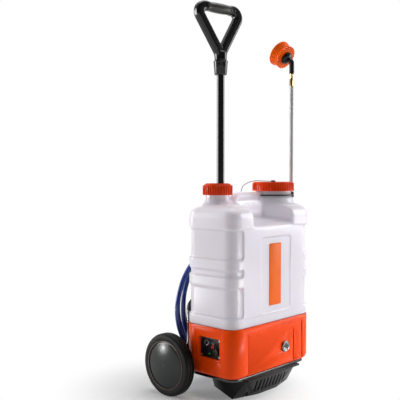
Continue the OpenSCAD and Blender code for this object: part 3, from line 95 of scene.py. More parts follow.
def material(
    name, color, rough=0.4, metallic=0.0, grain=(900, 0.00002), vary=(30, 0.06), rough_vary=0.06,
    tint=None, tint_scale=12, coat=0.0, spec=0.5, sss=0.0, sss_radius=0.01, stretch=(1, 1, 1),
    wave=None, glow=0.0,
):
    """A principled material: its colour drifts over the surface, its roughness too, and a fine grain
    bumps it. vary is (noise scale, drift), grain (noise scale, height in metres), and wave is a
    second, broad unevenness of the same form. tint is a second colour that comes in as patches, and
    glow a weak even emission, for light scattered in a translucent wall."""
    mat = bpy.data.materials.new(name)
    mat.use_nodes = True
    mat.diffuse_color = (*color, 1)
    nodes, links = mat.node_tree.nodes, mat.node_tree.links
    shader = nodes["Principled BSDF"]
    shader.inputs["Metallic"].default_value = metallic
    shader.inputs["Specular IOR Level"].default_value = spec
    shader.inputs["Coat Weight"].default_value = coat
    shader.inputs["Coat Roughness"].default_value = COAT_ROUGH
    if sss:
        shader.inputs["Subsurface Weight"].default_value = sss
        shader.inputs["Subsurface Radius"].default_value = SCATTER
        shader.inputs["Subsurface Scale"].default_value = sss_radius
    shader.inputs["Emission Color"].default_value = (*color, 1)
    shader.inputs["Emission Strength"].default_value = glow
    where = nodes.new("ShaderNodeTexCoord")
    spread = nodes.new("ShaderNodeMapping")
    spread.inputs["Scale"].default_value = stretch
    links.new(where.outputs["Object"], spread.inputs["Vector"])

    def noise(scale, detail=3.0):
        n = nodes.new("ShaderNodeTexNoise")
        n.inputs["Scale"].default_value = scale
        n.inputs["Detail"].default_value = detail
        links.new(spread.outputs["Vector"], n.inputs["Vector"])
        return n.outputs["Fac"]

    # colour
    ramp = nodes.new("ShaderNodeValToRGB")
    dark_end, light_end = ramp.color_ramp.elements
    dark_end.position, light_end.position = DRIFT_SPAN
    low, high = 1 - vary[1], 1 + vary[1]
    dark_end.color = (*[c * low for c in color], 1)
    light_end.color = (*[min(c * high, 1) for c in color], 1)
    links.new(noise(vary[0]), ramp.inputs["Fac"])
    tone = ramp.outputs["Color"]
    if tint:
        mix = nodes.new("ShaderNodeMix")
        mix.data_type = "RGBA"
        mask = nodes.new("ShaderNodeValToRGB")
        mask.color_ramp.elements[0].position, mask.color_ramp.elements[1].position = TINT_SPAN
        links.new(noise(tint_scale, TINT_DETAIL), mask.inputs["Fac"])
        links.new(mask.outputs["Color"], mix.inputs["Factor"])
        links.new(tone, mix.inputs["A"])
        mix.inputs["B"].default_value = (*tint, 1)
        tone = mix.outputs["Result"]
    links.new(tone, shader.inputs["Base Color"])
    # roughness
    span = nodes.new("ShaderNodeMapRange")
    span.inputs["To Min"].default_value = max(rough - rough_vary, 0.02)
    span.inputs["To Max"].default_value = min(rough + rough_vary, 1)
    links.new(noise(ROUGH_SCALE, ROUGH_DETAIL), span.inputs["Value"])
    links.new(span.outputs["Result"], shader.inputs["Roughness"])
    # surface
    normal = None
    for scale, height in filter(None, (wave, grain)):
        bump = nodes.new("ShaderNodeBump")
        bump.inputs["Distance"].default_value = height
        bump.inputs["Strength"].default_value = 1.0
        links.new(noise(scale, BUMP_DETAIL), bump.inputs["Height"])
        if normal:
            links.new(normal, bump.inputs["Normal"])
        normal = bump.outputs["Normal"]
    if normal:
        links.new(normal, shader.inputs["Normal"])
    return mat


# the tank's glow is painted light: an even emission that stands in for light scattered through its
# translucent wall
TANK = material("tank_skin", (0.69, 0.655, 0.715), 0.24, grain=(900, 0.000004), wave=(14, 0.0006),
                vary=(6, 0.02), sss=0.8, sss_radius=0.05, glow=0.13)
ORANGE = material("orange_plastic", (1.0, 0.074, 0.003), 0.26, grain=None, wave=(16, 0.0002), vary=(9, 0.05),
                  spec=0.12)
LID = material("lid_plastic", (0.82, 0.050, 0.002), 0.22, grain=None, vary=(20, 0.06), spec=0.12)
HEAD = material("head_plastic", (1.0, 0.125, 0.005), 0.30, grain=None, vary=(40, 0.05), spec=0.12)
BLACK = material("black_plastic", (0.008, 0.008, 0.008), 0.30, grain=None, vary=(25, 0.2), spec=0.3)
GRIP = material("grip_plastic", (0.003, 0.003, 0.003), 0.18, grain=None, vary=(25, 0.2), rough_vary=0.04,
                spec=0.45)
# painted sheen: a lighter black that stands in for the reflection along the grip's palm bar
PALM_SHEEN = material("palm_painted_sheen", (0.045, 0.043, 0.038), 0.26, grain=None, vary=(25, 0.1), rough_vary=0.04)
FOOT = material("foot_plastic", (0.004, 0.004, 0.0035), 0.34, grain=(700, 0.00001), vary=(20, 0.2), spec=0.25)
FRAME = material("frame_paint", (0.005, 0.005, 0.005), 0.14, grain=None, vary=(20, 0.2), rough_vary=0.03,
                 coat=0.4)
PAINT = material("black_paint", (0.004, 0.004, 0.004), 0.16, grain=None, vary=(6, 0.2), rough_vary=0.004,
                 coat=0.3)
RUBBER = material("tyre_rubber", (0.004, 0.0037, 0.0034), 0.5, grain=(800, 0.00001), vary=(30, 0.3),
                  tint=(0.009, 0.007, 0.006), spec=0.2)
HUB = material("hub_cap_plastic", (0.009, 0.011, 0.011), 0.22, grain=(800, 0.000004), vary=(10, 0.12),
               spec=0.35)
RIM = material("rim_plastic", (0.060, 0.030, 0.023), 0.3, grain=(800, 0.00001), vary=(10, 0.15), spec=0.35)
STEEL = material("steel", (0.56, 0.56, 0.57), 0.20, 1.0, grain=None, vary=(40, 0.05), rough_vary=0.03,
                 stretch=(1, 1, 0.05))
LANCE = material("lance_metal", (0.50, 0.50, 0.51), 0.45, 0.1, grain=None, vary=(8, 0.05), rough_vary=0.01)
CHROME = material("chrome", (0.55, 0.55, 0.57), 0.14, 1.0, grain=None, vary=(40, 0.03), rough_vary=0.03)
BEZEL = material("bezel_metal", (0.26, 0.26, 0.27), 0.16, 1.0, grain=None, vary=(40, 0.03), rough_vary=0.03)
BRASS = material("brass", (0.62, 0.46, 0.20), 0.24, 1.0, grain=(900, 0.000006), vary=(60, 0.08))
RED = material("red_plastic", (0.65, 0.015, 0.008), 0.2, grain=None, vary=(80, 0.05))
LAMP = material("lamp", (0.05, 0.45, 0.10), 0.12, grain=None, vary=(90, 0.1))
HOSE = material("hose_blue", (0.006, 0.032, 0.230), 0.22, grain=(600, 0.00001), vary=(40, 0.15), coat=0.15)
LABEL = material("label_film", (0.90, 0.150, 0.008), 0.32, grain=None, vary=(30, 0.03), spec=0.1)
BOARD = material("circuit_board", (0.02, 0.12, 0.05), 0.3, grain=(800, 0.00001), vary=(60, 0.3))
SOFT = material("soft_black", (0.012, 0.012, 0.012), 0.5, grain=(800, 0.00002), vary=(40, 0.2), spec=0.3)

DIAL_CENTRE = 0.051, 0.131  # x and z
# painted highlights on the dial: radius and lowest height of the white arc, slope and top of the white lower
# field
HIGHLIGHT_ARC_R, HIGHLIGHT_ARC_LOW = 0.0100, 0.004
HIGHLIGHT_FIELD_SLOPE, HIGHLIGHT_FIELD_TOP = 0.5, -0.0055
DIAL_HIGHLIGHT = (0.50, 0.50, 0.48, 1)


def dial_material():
    """Black dial under a clear coat, with painted highlights: a white arc near its rim at the top and a white
    lower field.
    """
    mat = material("gauge_dial", (0.01, 0.01, 0.01), 0.2, grain=None, vary=(60, 0.1), coat=0.5)
    nodes, links = mat.node_tree.nodes, mat.node_tree.links
    shader = nodes["Principled BSDF"]
    dark = shader.inputs["Base Color"].links[0].from_socket
    where = nodes.new("ShaderNodeTexCoord")
    moved = nodes.new("ShaderNodeMapping")
    moved.inputs["Location"].default_value = (-DIAL_CENTRE[0], 0, -DIAL_CENTRE[1])
    parts = nodes.new("ShaderNodeSeparateXYZ")
    links.new(where.outputs["Object"], moved.inputs["Vector"])
    links.new(moved.outputs["Vector"], parts.inputs[0])

    def math_node(kind, a, b=0.0):
        n = nodes.new("ShaderNodeMath")
        n.operation = kind
        for socket, value in zip(n.inputs, (a, b)):
            if isinstance(value, float):
                socket.default_value = value
            else:
                links.new(value, socket)
        return n.outputs[0]

    x, z = parts.outputs["X"], parts.outputs["Z"]
    reach = math_node("SQRT", math_node("ADD", math_node("MULTIPLY", x, x), math_node("MULTIPLY", z, z)))
    # painted highlights: the white arc near the rim and the white lower field
    far, above = math_node("GREATER_THAN", reach, HIGHLIGHT_ARC_R), math_node("GREATER_THAN", z, HIGHLIGHT_ARC_LOW)
    arc = math_node("MULTIPLY", far, above)
    field = math_node("LESS_THAN", math_node("ADD", z, math_node("MULTIPLY", x, HIGHLIGHT_FIELD_SLOPE)), HIGHLIGHT_FIELD_TOP)
    mix = nodes.new("ShaderNodeMix")
    mix.data_type = "RGBA"
    links.new(math_node("MAXIMUM", arc, field), mix.inputs["Factor"])
    links.new(dark, mix.inputs["A"])
    mix.inputs["B"].default_value = DIAL_HIGHLIGHT
    links.new(mix.outputs["Result"], shader.inputs["Base Color"])
    return mat


DIAL = dial_material()

NODE_MATERIALS = {  # the other nodes are BLACK
    TANK: ["tank"],
    ORANGE: ["base_housing"],
    LID: ["handle_cap", "handle_guide", "filler_lid", "trigger"],
    HEAD: ["spray_head", "spray_plate"],
    FOOT: ["front_foot"],
    FRAME: ["chassis"],
    GRIP: ["handle_grip", "handle_ferrule"],
    PAINT: ["handle_pole"],
    RUBBER: ["tyre_left", "tyre_right"],
    HUB: ["hub_cap_left", "hub_cap_right"],
    RIM: ["hub_left", "hub_right"],
    STEEL: ["foot_screws", "axle", "axle_washers", "wheel_clips", "panel_screws", "handle_sleeve",
            "trigger_pin", "pump_motor"],
    LANCE: ["lance_tube"],
    CHROME: ["charge_nut"],
    BEZEL: ["gauge_bezel"],
    BRASS: ["lance_nut", "gun_nut", "hose_outlet"],
    RED: ["switch_rocker"],
    LAMP: ["indicator_lamp"],
    HOSE: ["hose_coil", "hose_outlet_run", "hose_gun_run", "inner_hoses"],
    SOFT: ["lid_gasket", "vent_button", "lid_tether"],
    LABEL: ["label_plate"],
    BOARD: ["control_board"],
    DIAL: ["gauge_face"],
}
NODE_MATERIAL = {node: mat for mat, names in NODE_MATERIALS.items() for node in names}
for node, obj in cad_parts.items():
    obj.data.materials.clear()
    obj.data.materials.append(NODE_MATERIAL.get(node, BLACK))

# ------------------------------------------------------------------ making pieces


def new_object(name, mesh, mat):
    obj = bpy.data.objects.new(name, mesh)
    scene.collection.objects.link(obj)
    obj.data.materials.append(mat)
    return obj


def smooth(mesh):
    mesh.polygons.foreach_set("use_smooth", [True] * len(mesh.polygons))


def smooth_mesh(name, points, faces, mat):
    mesh = bpy.data.meshes.new(name)
    mesh.from_pydata([tuple(p) for p in points], [], [tuple(f) for f in faces])
    smooth(mesh)
    return new_object(name, mesh, mat)


def select_only(obj):
    bpy.ops.object.select_all(action="DESELECT")
    bpy.context.view_layer.objects.active = obj
    obj.select_set(True)


def place(obj, body, slot, *nodes):
    """The piece rides on a body and stands for these nodes. The slot argument is not used."""
    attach(obj, body)
    if nodes:
        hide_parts(*nodes)
    return obj


def curve_through(points, step):
    """Points along a smooth line through the given ones, a step apart or less."""
    p = np.array(points, float)
    ends = np.vstack([2 * p[0] - p[1], p, 2 * p[-1] - p[-2]])
    out = []
    for i in range(1, len(ends) - 2):
        a, b, c, d = ends[i - 1 : i + 3]
        count = max(int(np.linalg.norm(c - b) / step), 1)
        for k in range(count):
            t = k / count
            out.append(0.5 * ((2 * b) + (c - a) * t + (2 * a - 5 * b + 4 * c - d) * t * t
                              + (3 * b - a - 3 * c + d) * t ** 3))
    return np.vstack([out, p[-1:]])


def tube_curve(name, points, radius, mat, resolution):
    data = bpy.data.curves.new(name, "CURVE")
    data.dimensions = "3D"
    data.bevel_depth = radius
    data.bevel_resolution = resolution
    data.use_fill_caps = True
    data.twist_mode = "MINIMUM"
    spline = data.splines.new("POLY")
    spline.points.add(len(points) - 1)
    for knot, p in zip(spline.points, points):
        knot.co = (*p, 1)
    spline.use_smooth = True
    return new_object(name, data, mat)


# ------------------------------------------------------------------ hose

HOSE_R = 7 * MM
COIL_R, COIL_Z, COIL_PITCH, COIL_TURNS, TURN_STEPS = 172, 243, 15, 3.5, 24
TURN_Y = [[0, 131], [0.5, 131.5], [0.8, 146], [1, 146]]  # y within a turn, by share of the turn
COIL_X = [[0, -10], [0.25, -10], [1.25, 31], [2.25, 23], [3.25, 63], [3.5, 63]]  # middle's x, by turns
OUTLET = [121, 131, 106]
OUTLET_START, OUTLET_END, OUTLET_R = (107, 106), (18, 71), 65  # x and z, and the two arcs' radius
SWEEP_X, SWEEP_Y, SWEEP_Z = 91, 176.5, 415  # top of the coil, where the run to the gun leaves it
SWEEP_W, SWEEP_D, SWEEP_H = 118, 61.5, 150  # how far the run goes right, forward and down
LOOP_X, LOOP_DRIFT, LOOP_R, LOOP_Y, LOOP_Z = 209, 3, 60, 55, 262
GUN_END = [[206, -5, 283], [206, -5, 304]]
ROUTE_STEP, TUBE_FACETS = 0.009, 5


def lookup(t, rule):
    """A rule's value at t, on straight lines between its [t, value] pairs."""
    return float(np.interp(t, [r[0] for r in rule], [r[1] for r in rule]))


def coil_point(t):
    """Point of the coil t turns after its lowest point beside the tank."""
    a = math.radians(270 - 360 * t)
    turn = math.floor(t)
    return [
        lookup(t, COIL_X) + COIL_R * math.cos(a),
        COIL_PITCH * turn + lookup(t - turn, TURN_Y),
        COIL_Z + COIL_R * math.sin(a),
    ]


def outlet_route():
    """From the outlet's nut in two equal arcs down to the coil's lowest point."""
    (x0, z0), (x1, z1) = OUTLET_START, OUTLET_END
    reach = math.asin((x0 - x1) / 2 / OUTLET_R)
    angles = [reach * k / 6 for k in range(7)]
    arc = [(OUTLET_R * math.sin(a), OUTLET_R * (1 - math.cos(a))) for a in angles]
    down = [(x0 - u, z0 - v) for u, v in arc] + [(x1 + u, z1 + v) for u, v in arc[-2::-1]]
    return [OUTLET] + [[x, OUTLET[1], z] for x, z in down]


def gun_route():
    """From the coil's top round its right side, then in a loop up into the gun."""
    points = []
    for k in range(19):
        a, t = math.radians(5 * k), k / 18
        points.append([
            SWEEP_X + SWEEP_W * math.sin(a),
            SWEEP_Y - SWEEP_D * t * t * (3 - 2 * t),
            SWEEP_Z - SWEEP_H * (1 - math.cos(a)),
        ])
    for k in range(13):
        a = math.radians(15 * k)
        x = LOOP_X - LOOP_DRIFT * k / 12
        points.append([x, LOOP_Y + LOOP_R * math.cos(a), LOOP_Z - LOOP_R * math.sin(a)])
    return points + GUN_END


coil = [coil_point(i / TURN_STEPS) for i in range(int(COIL_TURNS * TURN_STEPS) + 1)]
route = [*outlet_route(), *coil, *gun_route()]
hose_points = curve_through(np.array(route) * MM, ROUTE_STEP)
hose = place(tube_curve("hose", hose_points, HOSE_R, HOSE, TUBE_FACETS), "cart", "hose",
             "hose_coil", "hose_outlet_run", "hose_gun_run")

# ------------------------------------------------------------------ floor, backdrop and light

WHITE = (1, 1, 1, 1)
AMBIENT, ROOM_DIM = 0.24, 0.10
BACKDROP_WAY = (0.71, 0.66, 0.25)  # from the object towards the backdrop
ROOM_EDGE, BACKDROP_EDGE = -0.1, 0.9  # cosines between which reflections go from dim to white
FLOOR_HALF, FLOOR_COLOR, FLOOR_GLOW = 9, (0.82, 0.82, 0.82, 1), 0.16
FADE_MIDDLE, FADE_FROM, FADE_TO = (-0.15, 0.12, 0), 0.12, 0.42
LAMPS = (  # name, place, target, size, watts, spread in degrees, colour
    ("key_right", (2.3, -1.5, 1.0), (0, 0, 0.40), (1.2, 1.6), 38, 180, (0.96, 0.97, 1.0)),
    ("key_left", (-1.5, 2.1, 1.2), (0, 0, 1.1), (1.0, 1.8), 8.4, 60, (1, 1, 1)),
    ("top", (0.3, 0.1, 2.8), (0, 0, 0.4), (1.8, 1.8), 30, 180, (1, 1, 1)),
    ("low_front", (0.75, -1.5, 0.10), (0, -0.1, 0.10), (1.2, 0.12), 1.1, 50, (1, 1, 1)),
    ("hub_spark", (-1.077, 0.990, 0.10), (-0.25, 0.122, 0.143), (0.07, 0.07), 0.2, 60, (1, 1, 1)),
)


def ray_is(tree, *kinds):
    """1 for rays of one of these kinds, 0 for the rest."""
    path = tree.nodes.new("ShaderNodeLightPath")
    rays = path.outputs[kinds[0]]
    for kind in kinds[1:]:
        high = tree.nodes.new("ShaderNodeMath")
        high.operation = "MAXIMUM"
        tree.links.new(rays, high.inputs[0])
        tree.links.new(path.outputs[kind], high.inputs[1])
        rays = high.outputs[0]
    return rays


def mixed(tree, factor, first, second):
    mix = tree.nodes.new("ShaderNodeMixShader")
    tree.links.new(factor, mix.inputs["Fac"])
    tree.links.new(first, mix.inputs[1])
    tree.links.new(second, mix.inputs[2])
    return mix.outputs[0]


def add_world():
    """White backdrop. Reflections see it white behind the object and dimmer in the room before it."""
    world = bpy.data.worlds.new("studio")
    scene.world = world
    world.use_nodes = True
    tree = world.node_tree
    nodes, links = tree.nodes, tree.links
    lit = nodes["Background"]
    lit.inputs["Color"].default_value = WHITE
    lit.inputs["Strength"].default_value = AMBIENT
    seen = nodes.new("ShaderNodeBackground")
    seen.inputs["Color"].default_value = WHITE
    seen.inputs["Strength"].default_value = 1.0
    mirrored = nodes.new("ShaderNodeBackground")
    mirrored.inputs["Color"].default_value = WHITE
    where = nodes.new("ShaderNodeTexCoord")
    toward = nodes.new("ShaderNodeVectorMath")
    toward.operation = "DOT_PRODUCT"
    toward.inputs[1].default_value = BACKDROP_WAY
    links.new(where.outputs["Generated"], toward.inputs[0])
    span = nodes.new("ShaderNodeMapRange")
    ends = {"From Min": ROOM_EDGE, "From Max": BACKDROP_EDGE, "To Min": ROOM_DIM, "To Max": 1.0}
    for name, value in ends.items():
        span.inputs[name].default_value = value
    links.new(toward.outputs["Value"], span.inputs["Value"])
    links.new(span.outputs["Result"], mirrored.inputs["Strength"])
    out = mixed(tree, ray_is(tree, "Is Glossy Ray"), lit.outputs[0], mirrored.outputs[0])
    out = mixed(tree, ray_is(tree, "Is Camera Ray", "Is Transmission Ray"), out, seen.outputs[0])
    links.new(out, nodes["World Output"].inputs["Surface"])


def add_floor():
    """Pale floor that keeps the object's shadow and fades into the backdrop further out."""
    mesh = bpy.data.meshes.new("studio_floor")
    half = FLOOR_HALF
    corners = [(-half, -half, 0), (half, -half, 0), (half, half, 0), (-half, half, 0)]
    mesh.from_pydata(corners, [], [(0, 1, 2, 3)])
    mat = bpy.data.materials.new("studio_floor")
    mat.use_nodes = True
    tree = mat.node_tree
    nodes, links = tree.nodes, tree.links
    shader = nodes["Principled BSDF"]
    shader.inputs["Base Color"].default_value = FLOOR_COLOR
    shader.inputs["Roughness"].default_value = 0.9
    shader.inputs["Specular IOR Level"].default_value = 0.1
    glow = nodes.new("ShaderNodeEmission")
    glow.inputs["Strength"].default_value = FLOOR_GLOW
    near = nodes.new("ShaderNodeAddShader")
    links.new(shader.outputs[0], near.inputs[0])
    links.new(glow.outputs[0], near.inputs[1])
    far = nodes.new("ShaderNodeEmission")
    where = nodes.new("ShaderNodeTexCoord")
    length = nodes.new("ShaderNodeVectorMath")
    length.operation = "DISTANCE"
    length.inputs[1].default_value = FADE_MIDDLE
    links.new(where.outputs["Object"], length.inputs[0])
    fade = nodes.new("ShaderNodeMapRange")
    fade.interpolation_type = "SMOOTHSTEP"
    fade.inputs["From Min"].default_value = FADE_FROM
    fade.inputs["From Max"].default_value = FADE_TO
    links.new(length.outputs["Value"], fade.inputs["Value"])
    seen = mixed(tree, fade.outputs["Result"], near.outputs[0], far.outputs[0])
    rays = ray_is(tree, "Is Camera Ray", "Is Glossy Ray", "Is Transmission Ray")
    links.new(mixed(tree, rays, shader.outputs[0], seen), nodes["Material Output"].inputs["Surface"])
    new_object("studio_floor", mesh, mat)


def add_softbox(name, spot, target, size, watts, spread, color):
    data = bpy.data.lights.new(name, "AREA")
    data.shape, data.size, data.size_y = "RECTANGLE", *size
    data.energy, data.color, data.spread = watts, color, math.radians(spread)
    lamp = bpy.data.objects.new(name, data)
    lamp.location = spot
    lamp.rotation_euler = (Vector(target) - Vector(spot)).to_track_quat("-Z", "Y").to_euler()
    scene.collection.objects.link(lamp)


scene.view_settings.view_transform = "Standard"
add_world()
add_floor()
for lamp_row in LAMPS:
    add_softbox(*lamp_row)

# ------------------------------------------------------------------ tank

TANK_W, TANK_D, TANK_R, LEAST_R = 380, 194, 38, 9
SEAT_Z, TOP_Z = 214, 562
BAND_ROWS = [  # height over the seat and inset of the outline
    (0, 3.5), (3, 1.5), (29, 1.5), (32.5, 5.5), (110, 5.5), (118, 1.5), (144.5, 1.5), (148, 5.5),
    (160, 5.5), (168, 1.5), (193, 1.5), (196.5, 5.5), (276, 5.5), (282, 0.5), (315, 0.5), (318, 2.2),
    (326, 4.2), (334, 9.5), (341, 20.5), (346, 36.5), (348, 58.5),
]
BAND_STEP, BAND_BLUR, SHOULDER_H = 0.5, 1.1, 338  # the rows above SHOULDER_H aren't rounded
FILLER = (116, 0, 55, 618)  # x, y, radius and rim height of a neck
HANDLE = (-105, 38, 36, 615)
NECK_ROOTS = ((FILLER, 500), (HANDLE, 556))
TOWERS = ((FILLER, 538, 578, 73, 60), (HANDLE, 546, 576, 55, 36))  # heights and radii of the cones
MOUTH_R, MOUTH_SPAN = 51, (518, 638)
POLE, TUNNEL_R, TUNNEL_SPAN = (-92, 38), 15, (SEAT_Z - 10, 640)
# raised front, recess round the label, grooves beside the front corners: middle, half sizes, corner
# radius and the y of the face
PANEL_Z, PANEL_HALF, PANEL_R, PANEL_Y, PANEL_ROOT_Y = 372, (148, 132), 14, -96.3, -80
FRAME_MIDDLE, FRAME_HALF, FRAME_R, FRAME_Y = (7.5, 355.5), (70, 110), 10, -94
GROOVE_X, GROOVE_HALF_W, GROOVE_R, GROOVE_Y = 161, 18, 6, -90.6
GROOVE_SPANS = ((198, 276), (149, 167), (36, 117))
# scoop: tilt of its floor, the floor's height at its lip, its left and rear limits, and its right wall
# in plan; the saddle is the dip under the carry bar
SCOOP_TILT, SCOOP_Z, SCOOP_LIP_Y, SCOOP_X, SCOOP_Y = math.radians(11), 500, -97, -98, -8
WALL_POINT, WALL_NORMAL = (99, -127), (119, 41)
SADDLE_Z, SADDLE_X = 520, (-46, 52)
BAR_Z, BAR_BEND, BAR_POST_X, BAR_END_X, BAR_ROOT_Z, BAR_Y, BAR_R = 582.5, 20, -58, 75, 538, 19, 13
BEAD_RING_R, BEAD_Z, BEAD_R = 55.2, 591, 1.4
FAR_OFF = 1e3  # a distance that never wins a minimum


def smax(a, b, k):
    """The larger of two distances, with the edge between them rounded over about k."""
    h = np.clip(0.5 - 0.5 * (b - a) / k, 0, 1)
    return b * (1 - h) + a * h + k * h * (1 - h)


def smin(a, b, k):
    return -smax(-a, -b, k)


def box2(u, v, half_u, half_v, r):
    """Distance to a rounded rectangle in the plane."""
    qu, qv = np.abs(u) - (half_u - r), np.abs(v) - (half_v - r)
    return np.minimum(np.maximum(qu, qv), 0) + np.hypot(np.maximum(qu, 0), np.maximum(qv, 0)) - r


def slab(a, low, high):
    return np.maximum(low - a, a - high)


def cone(x, y, z, centre, z0, z1, r0, r1):
    """Distance to an upright cone of radius r0 at z0 and r1 at z1."""
    t = np.clip((z - z0) / (z1 - z0), -0.2, 1.2)
    lean = math.cos(math.atan2(abs(r0 - r1), z1 - z0))
    side = (np.hypot(x - centre[0], y - centre[1]) - (r0 + (r1 - r0) * t)) * lean
    return np.maximum(side, slab(z, z0, z1))


def inset_table():
    """Inset of the tank's outline by height, with its steps rounded."""
    z = np.arange(-20, 380, BAND_STEP)
    inset = np.interp(z, [r[0] for r in BAND_ROWS], [r[1] for r in BAND_ROWS])
    kernel = np.exp(-0.5 * (np.arange(-12, 13) * BAND_STEP / BAND_BLUR) ** 2)
    soft = np.convolve(inset, kernel / kernel.sum(), mode="same")
    return z, np.where(z > SHOULDER_H, inset, soft)


def carry_bar(x, y, z):
    """The bar's post, its bend and the run across, as one round rod."""
    px = x - BAR_POST_X
    upright = np.where(z < BAR_Z - BAR_BEND, np.abs(px), FAR_OFF)
    dx, dz = px - BAR_BEND, z - (BAR_Z - BAR_BEND)
    elbow = np.where((dx < 0) & (dz > 0), np.abs(np.hypot(dx, dz) - BAR_BEND), FAR_OFF)
    across = np.where(dx >= 0, np.abs(z - BAR_Z), FAR_OFF)
    rod = np.hypot(np.minimum(np.minimum(upright, elbow), across), y - BAR_Y) - BAR_R
    return np.maximum(rod, np.maximum(BAR_ROOT_Z - z, x - BAR_END_X))


def tank_field(x, y, z):
    """Distance to the tank's skin, in mm, negative inside. The last number of smax and smin is the
    rounding where two forms meet."""
    heights, insets = inset_table()
    inset = np.interp(z - SEAT_Z, heights, insets)
    corner = np.maximum(TANK_R - inset * 0.45, LEAST_R)
    body = box2(x, y, TANK_W / 2 - inset, TANK_D / 2 - inset, corner)
    body = smax(body, z - TOP_Z, 4)
    body = smax(body, SEAT_Z - z, 2)
    # raised front between the corners
    panel = np.maximum(box2(x, z - PANEL_Z, *PANEL_HALF, PANEL_R), y - PANEL_ROOT_Y)
    body = smin(body, smax(panel, PANEL_Y - y, 3), 1)
    # towers under the necks
    body = smin(body, np.minimum(*(cone(x, y, z, *tower) for tower in TOWERS)), 10)
    # scoop and saddle
    floor = (z - SCOOP_Z) * math.cos(SCOOP_TILT) - (y - SCOOP_LIP_Y) * math.sin(SCOOP_TILT)
    (wall_x, wall_y), (across_x, across_y) = WALL_POINT, WALL_NORMAL
    wall = ((x - wall_x) * across_x + (y - wall_y) * across_y) / math.hypot(across_x, across_y)
    scoop = smax(smax(-floor, SCOOP_X - x, 14), smax(wall, y - SCOOP_Y, 10), 14)
    saddle = smax(smax(SADDLE_Z - z, SADDLE_X[0] - x, 20), x - SADDLE_X[1], 20)
    body = smax(body, -scoop, 9)
    body = smax(body, -saddle, 8)
    # necks
    for (cx, cy, r, rim), root in NECK_ROOTS:
        neck = smax(np.hypot(x - cx, y - cy) - r, z - rim, 1.5)
        body = smin(body, smax(neck, root - z, 4), 7)
    body = smin(body, carry_bar(x, y, z), 7)
    # label frame
    frame_x, frame_z = x - FRAME_MIDDLE[0], z - FRAME_MIDDLE[1]
    frame_in = np.maximum(box2(frame_x, frame_z, *FRAME_HALF, FRAME_R), y - FRAME_Y)
    body = smax(body, -frame_in, 2.5)
    # grooves beside the front corners
    for side in (-1, 1):
        for low, high in GROOVE_SPANS:
            groove_z = z - SEAT_Z - (low + high) / 2
            recess = box2(x - side * GROOVE_X, groove_z, GROOVE_HALF_W, (high - low) / 2, GROOVE_R)
            body = smax(body, -smax(recess, y - GROOVE_Y, 3), 3)
    # bead round the filler neck, over its clip ring
    ring = np.hypot(x - FILLER[0], y - FILLER[1]) - BEAD_RING_R
    return smin(body, np.hypot(ring, z - BEAD_Z) - BEAD_R, 1.5)


SETTLE_ROUNDS, LEAST_SLOPE, LONGEST_MOVE = 2, 0.2, 0.6


def surface_nets(field, low, high, step):
    """Points and quads of the field's zero surface over a grid."""
    axes = [np.arange(a, b + step, step, dtype=np.float64) for a, b in zip(low, high)]
    x, y, z = np.meshgrid(*axes, indexing="ij")
    f = field(x, y, z).astype(np.float32)
    nx, ny, nz = (n - 1 for n in f.shape)
    total = np.zeros((nx, ny, nz, 3), np.float32)
    count = np.zeros((nx, ny, nz), np.float32)
    for axis in range(3):
        u, v = [a for a in range(3) if a != axis]
        for du in (0, 1):
            for dv in (0, 1):
                cut = [slice(0, n) for n in (nx, ny, nz)]
                cut[u], cut[v] = slice(du, du + (nx, ny, nz)[u]), slice(dv, dv + (nx, ny, nz)[v])
                a = f[tuple(cut)]
                cut[axis] = slice(1, 1 + (nx, ny, nz)[axis])
                b = f[tuple(cut)]
                hit = (a < 0) != (b < 0)
                t = np.where(hit, a / np.where(hit, a - b, 1), 0)
                total[..., axis] += t
                total[..., u] += hit * du
                total[..., v] += hit * dv
                count += hit
    active = count > 0
    index = np.full((nx, ny, nz), -1, np.int64)
    index[active] = np.arange(active.sum())
    cells = np.argwhere(active)
    points = (cells + total[active] / count[active][:, None]) * step + np.array(low)
    quads = []
    for axis in range(3):
        u, v = (axis + 1) % 3, (axis + 2) % 3
        low_cut, high_cut = [slice(None)] * 3, [slice(None)] * 3
        low_cut[axis], high_cut[axis] = slice(0, -1), slice(1, None)
        a, b = f[tuple(low_cut)], f[tuple(high_cut)]
        hit = np.argwhere((a < 0) != (b < 0))
        inside = a[tuple(hit.T)] < 0
        last_u, last_v = (nx, ny, nz)[u], (nx, ny, nz)[v]
        keep = (hit[:, u] > 0) & (hit[:, v] > 0) & (hit[:, u] < last_u) & (hit[:, v] < last_v)
        hit, inside = hit[keep], inside[keep]
        corners = []
        for du, dv in ((-1, -1), (0, -1), (0, 0), (-1, 0)):
            c = hit.copy()
            c[:, u] += du
            c[:, v] += dv
            corners.append(index[tuple(c.T)])
        quad = np.stack(corners, 1)
        quad[~inside] = quad[~inside][:, ::-1]
        quads.append(quad)
    return points, np.vstack(quads)


def settle(field, points):
    """Points moved onto the field's zero surface along its slope."""
    e = 0.05
    for _ in range(SETTLE_ROUNDS):
        x, y, z = points.T
        f = field(x, y, z)
        slope = np.stack([
            field(x + e, y, z) - field(x - e, y, z),
            field(x, y + e, z) - field(x, y - e, z),
            field(x, y, z + e) - field(x, y, z - e),
        ], 1) / (2 * e)
        size = np.maximum((slope ** 2).sum(1), LEAST_SLOPE)
        points = points - slope * (np.clip(f, -LONGEST_MOVE, LONGEST_MOVE) / size)[:, None]
    return points


def cut_bore(obj, axis, radius, span):
    """A round bore along Z, in mm, cut out of a closed mesh."""
    low, high = span
    middle = (axis[0] * MM, axis[1] * MM, (low + high) / 2 * MM)
    bpy.ops.mesh.primitive_cylinder_add(
        vertices=BORE_FACETS, radius=radius * MM, depth=(high - low) * MM, location=middle
    )
    cutter = bpy.context.object
    cut = obj.modifiers.new("bore", "BOOLEAN")
    cut.object, cut.operation, cut.solver = cutter, "DIFFERENCE", "EXACT"
    select_only(obj)
    bpy.ops.object.modifier_apply(modifier="bore")
    bpy.data.objects.remove(cutter)


BORE_FACETS = 96
TANK_STEP = 2.4
TANK_LOW, TANK_HIGH = (-194.3, -101.3, 207.7), (194, 101, 624)
TANK_SHARP = math.radians(50)


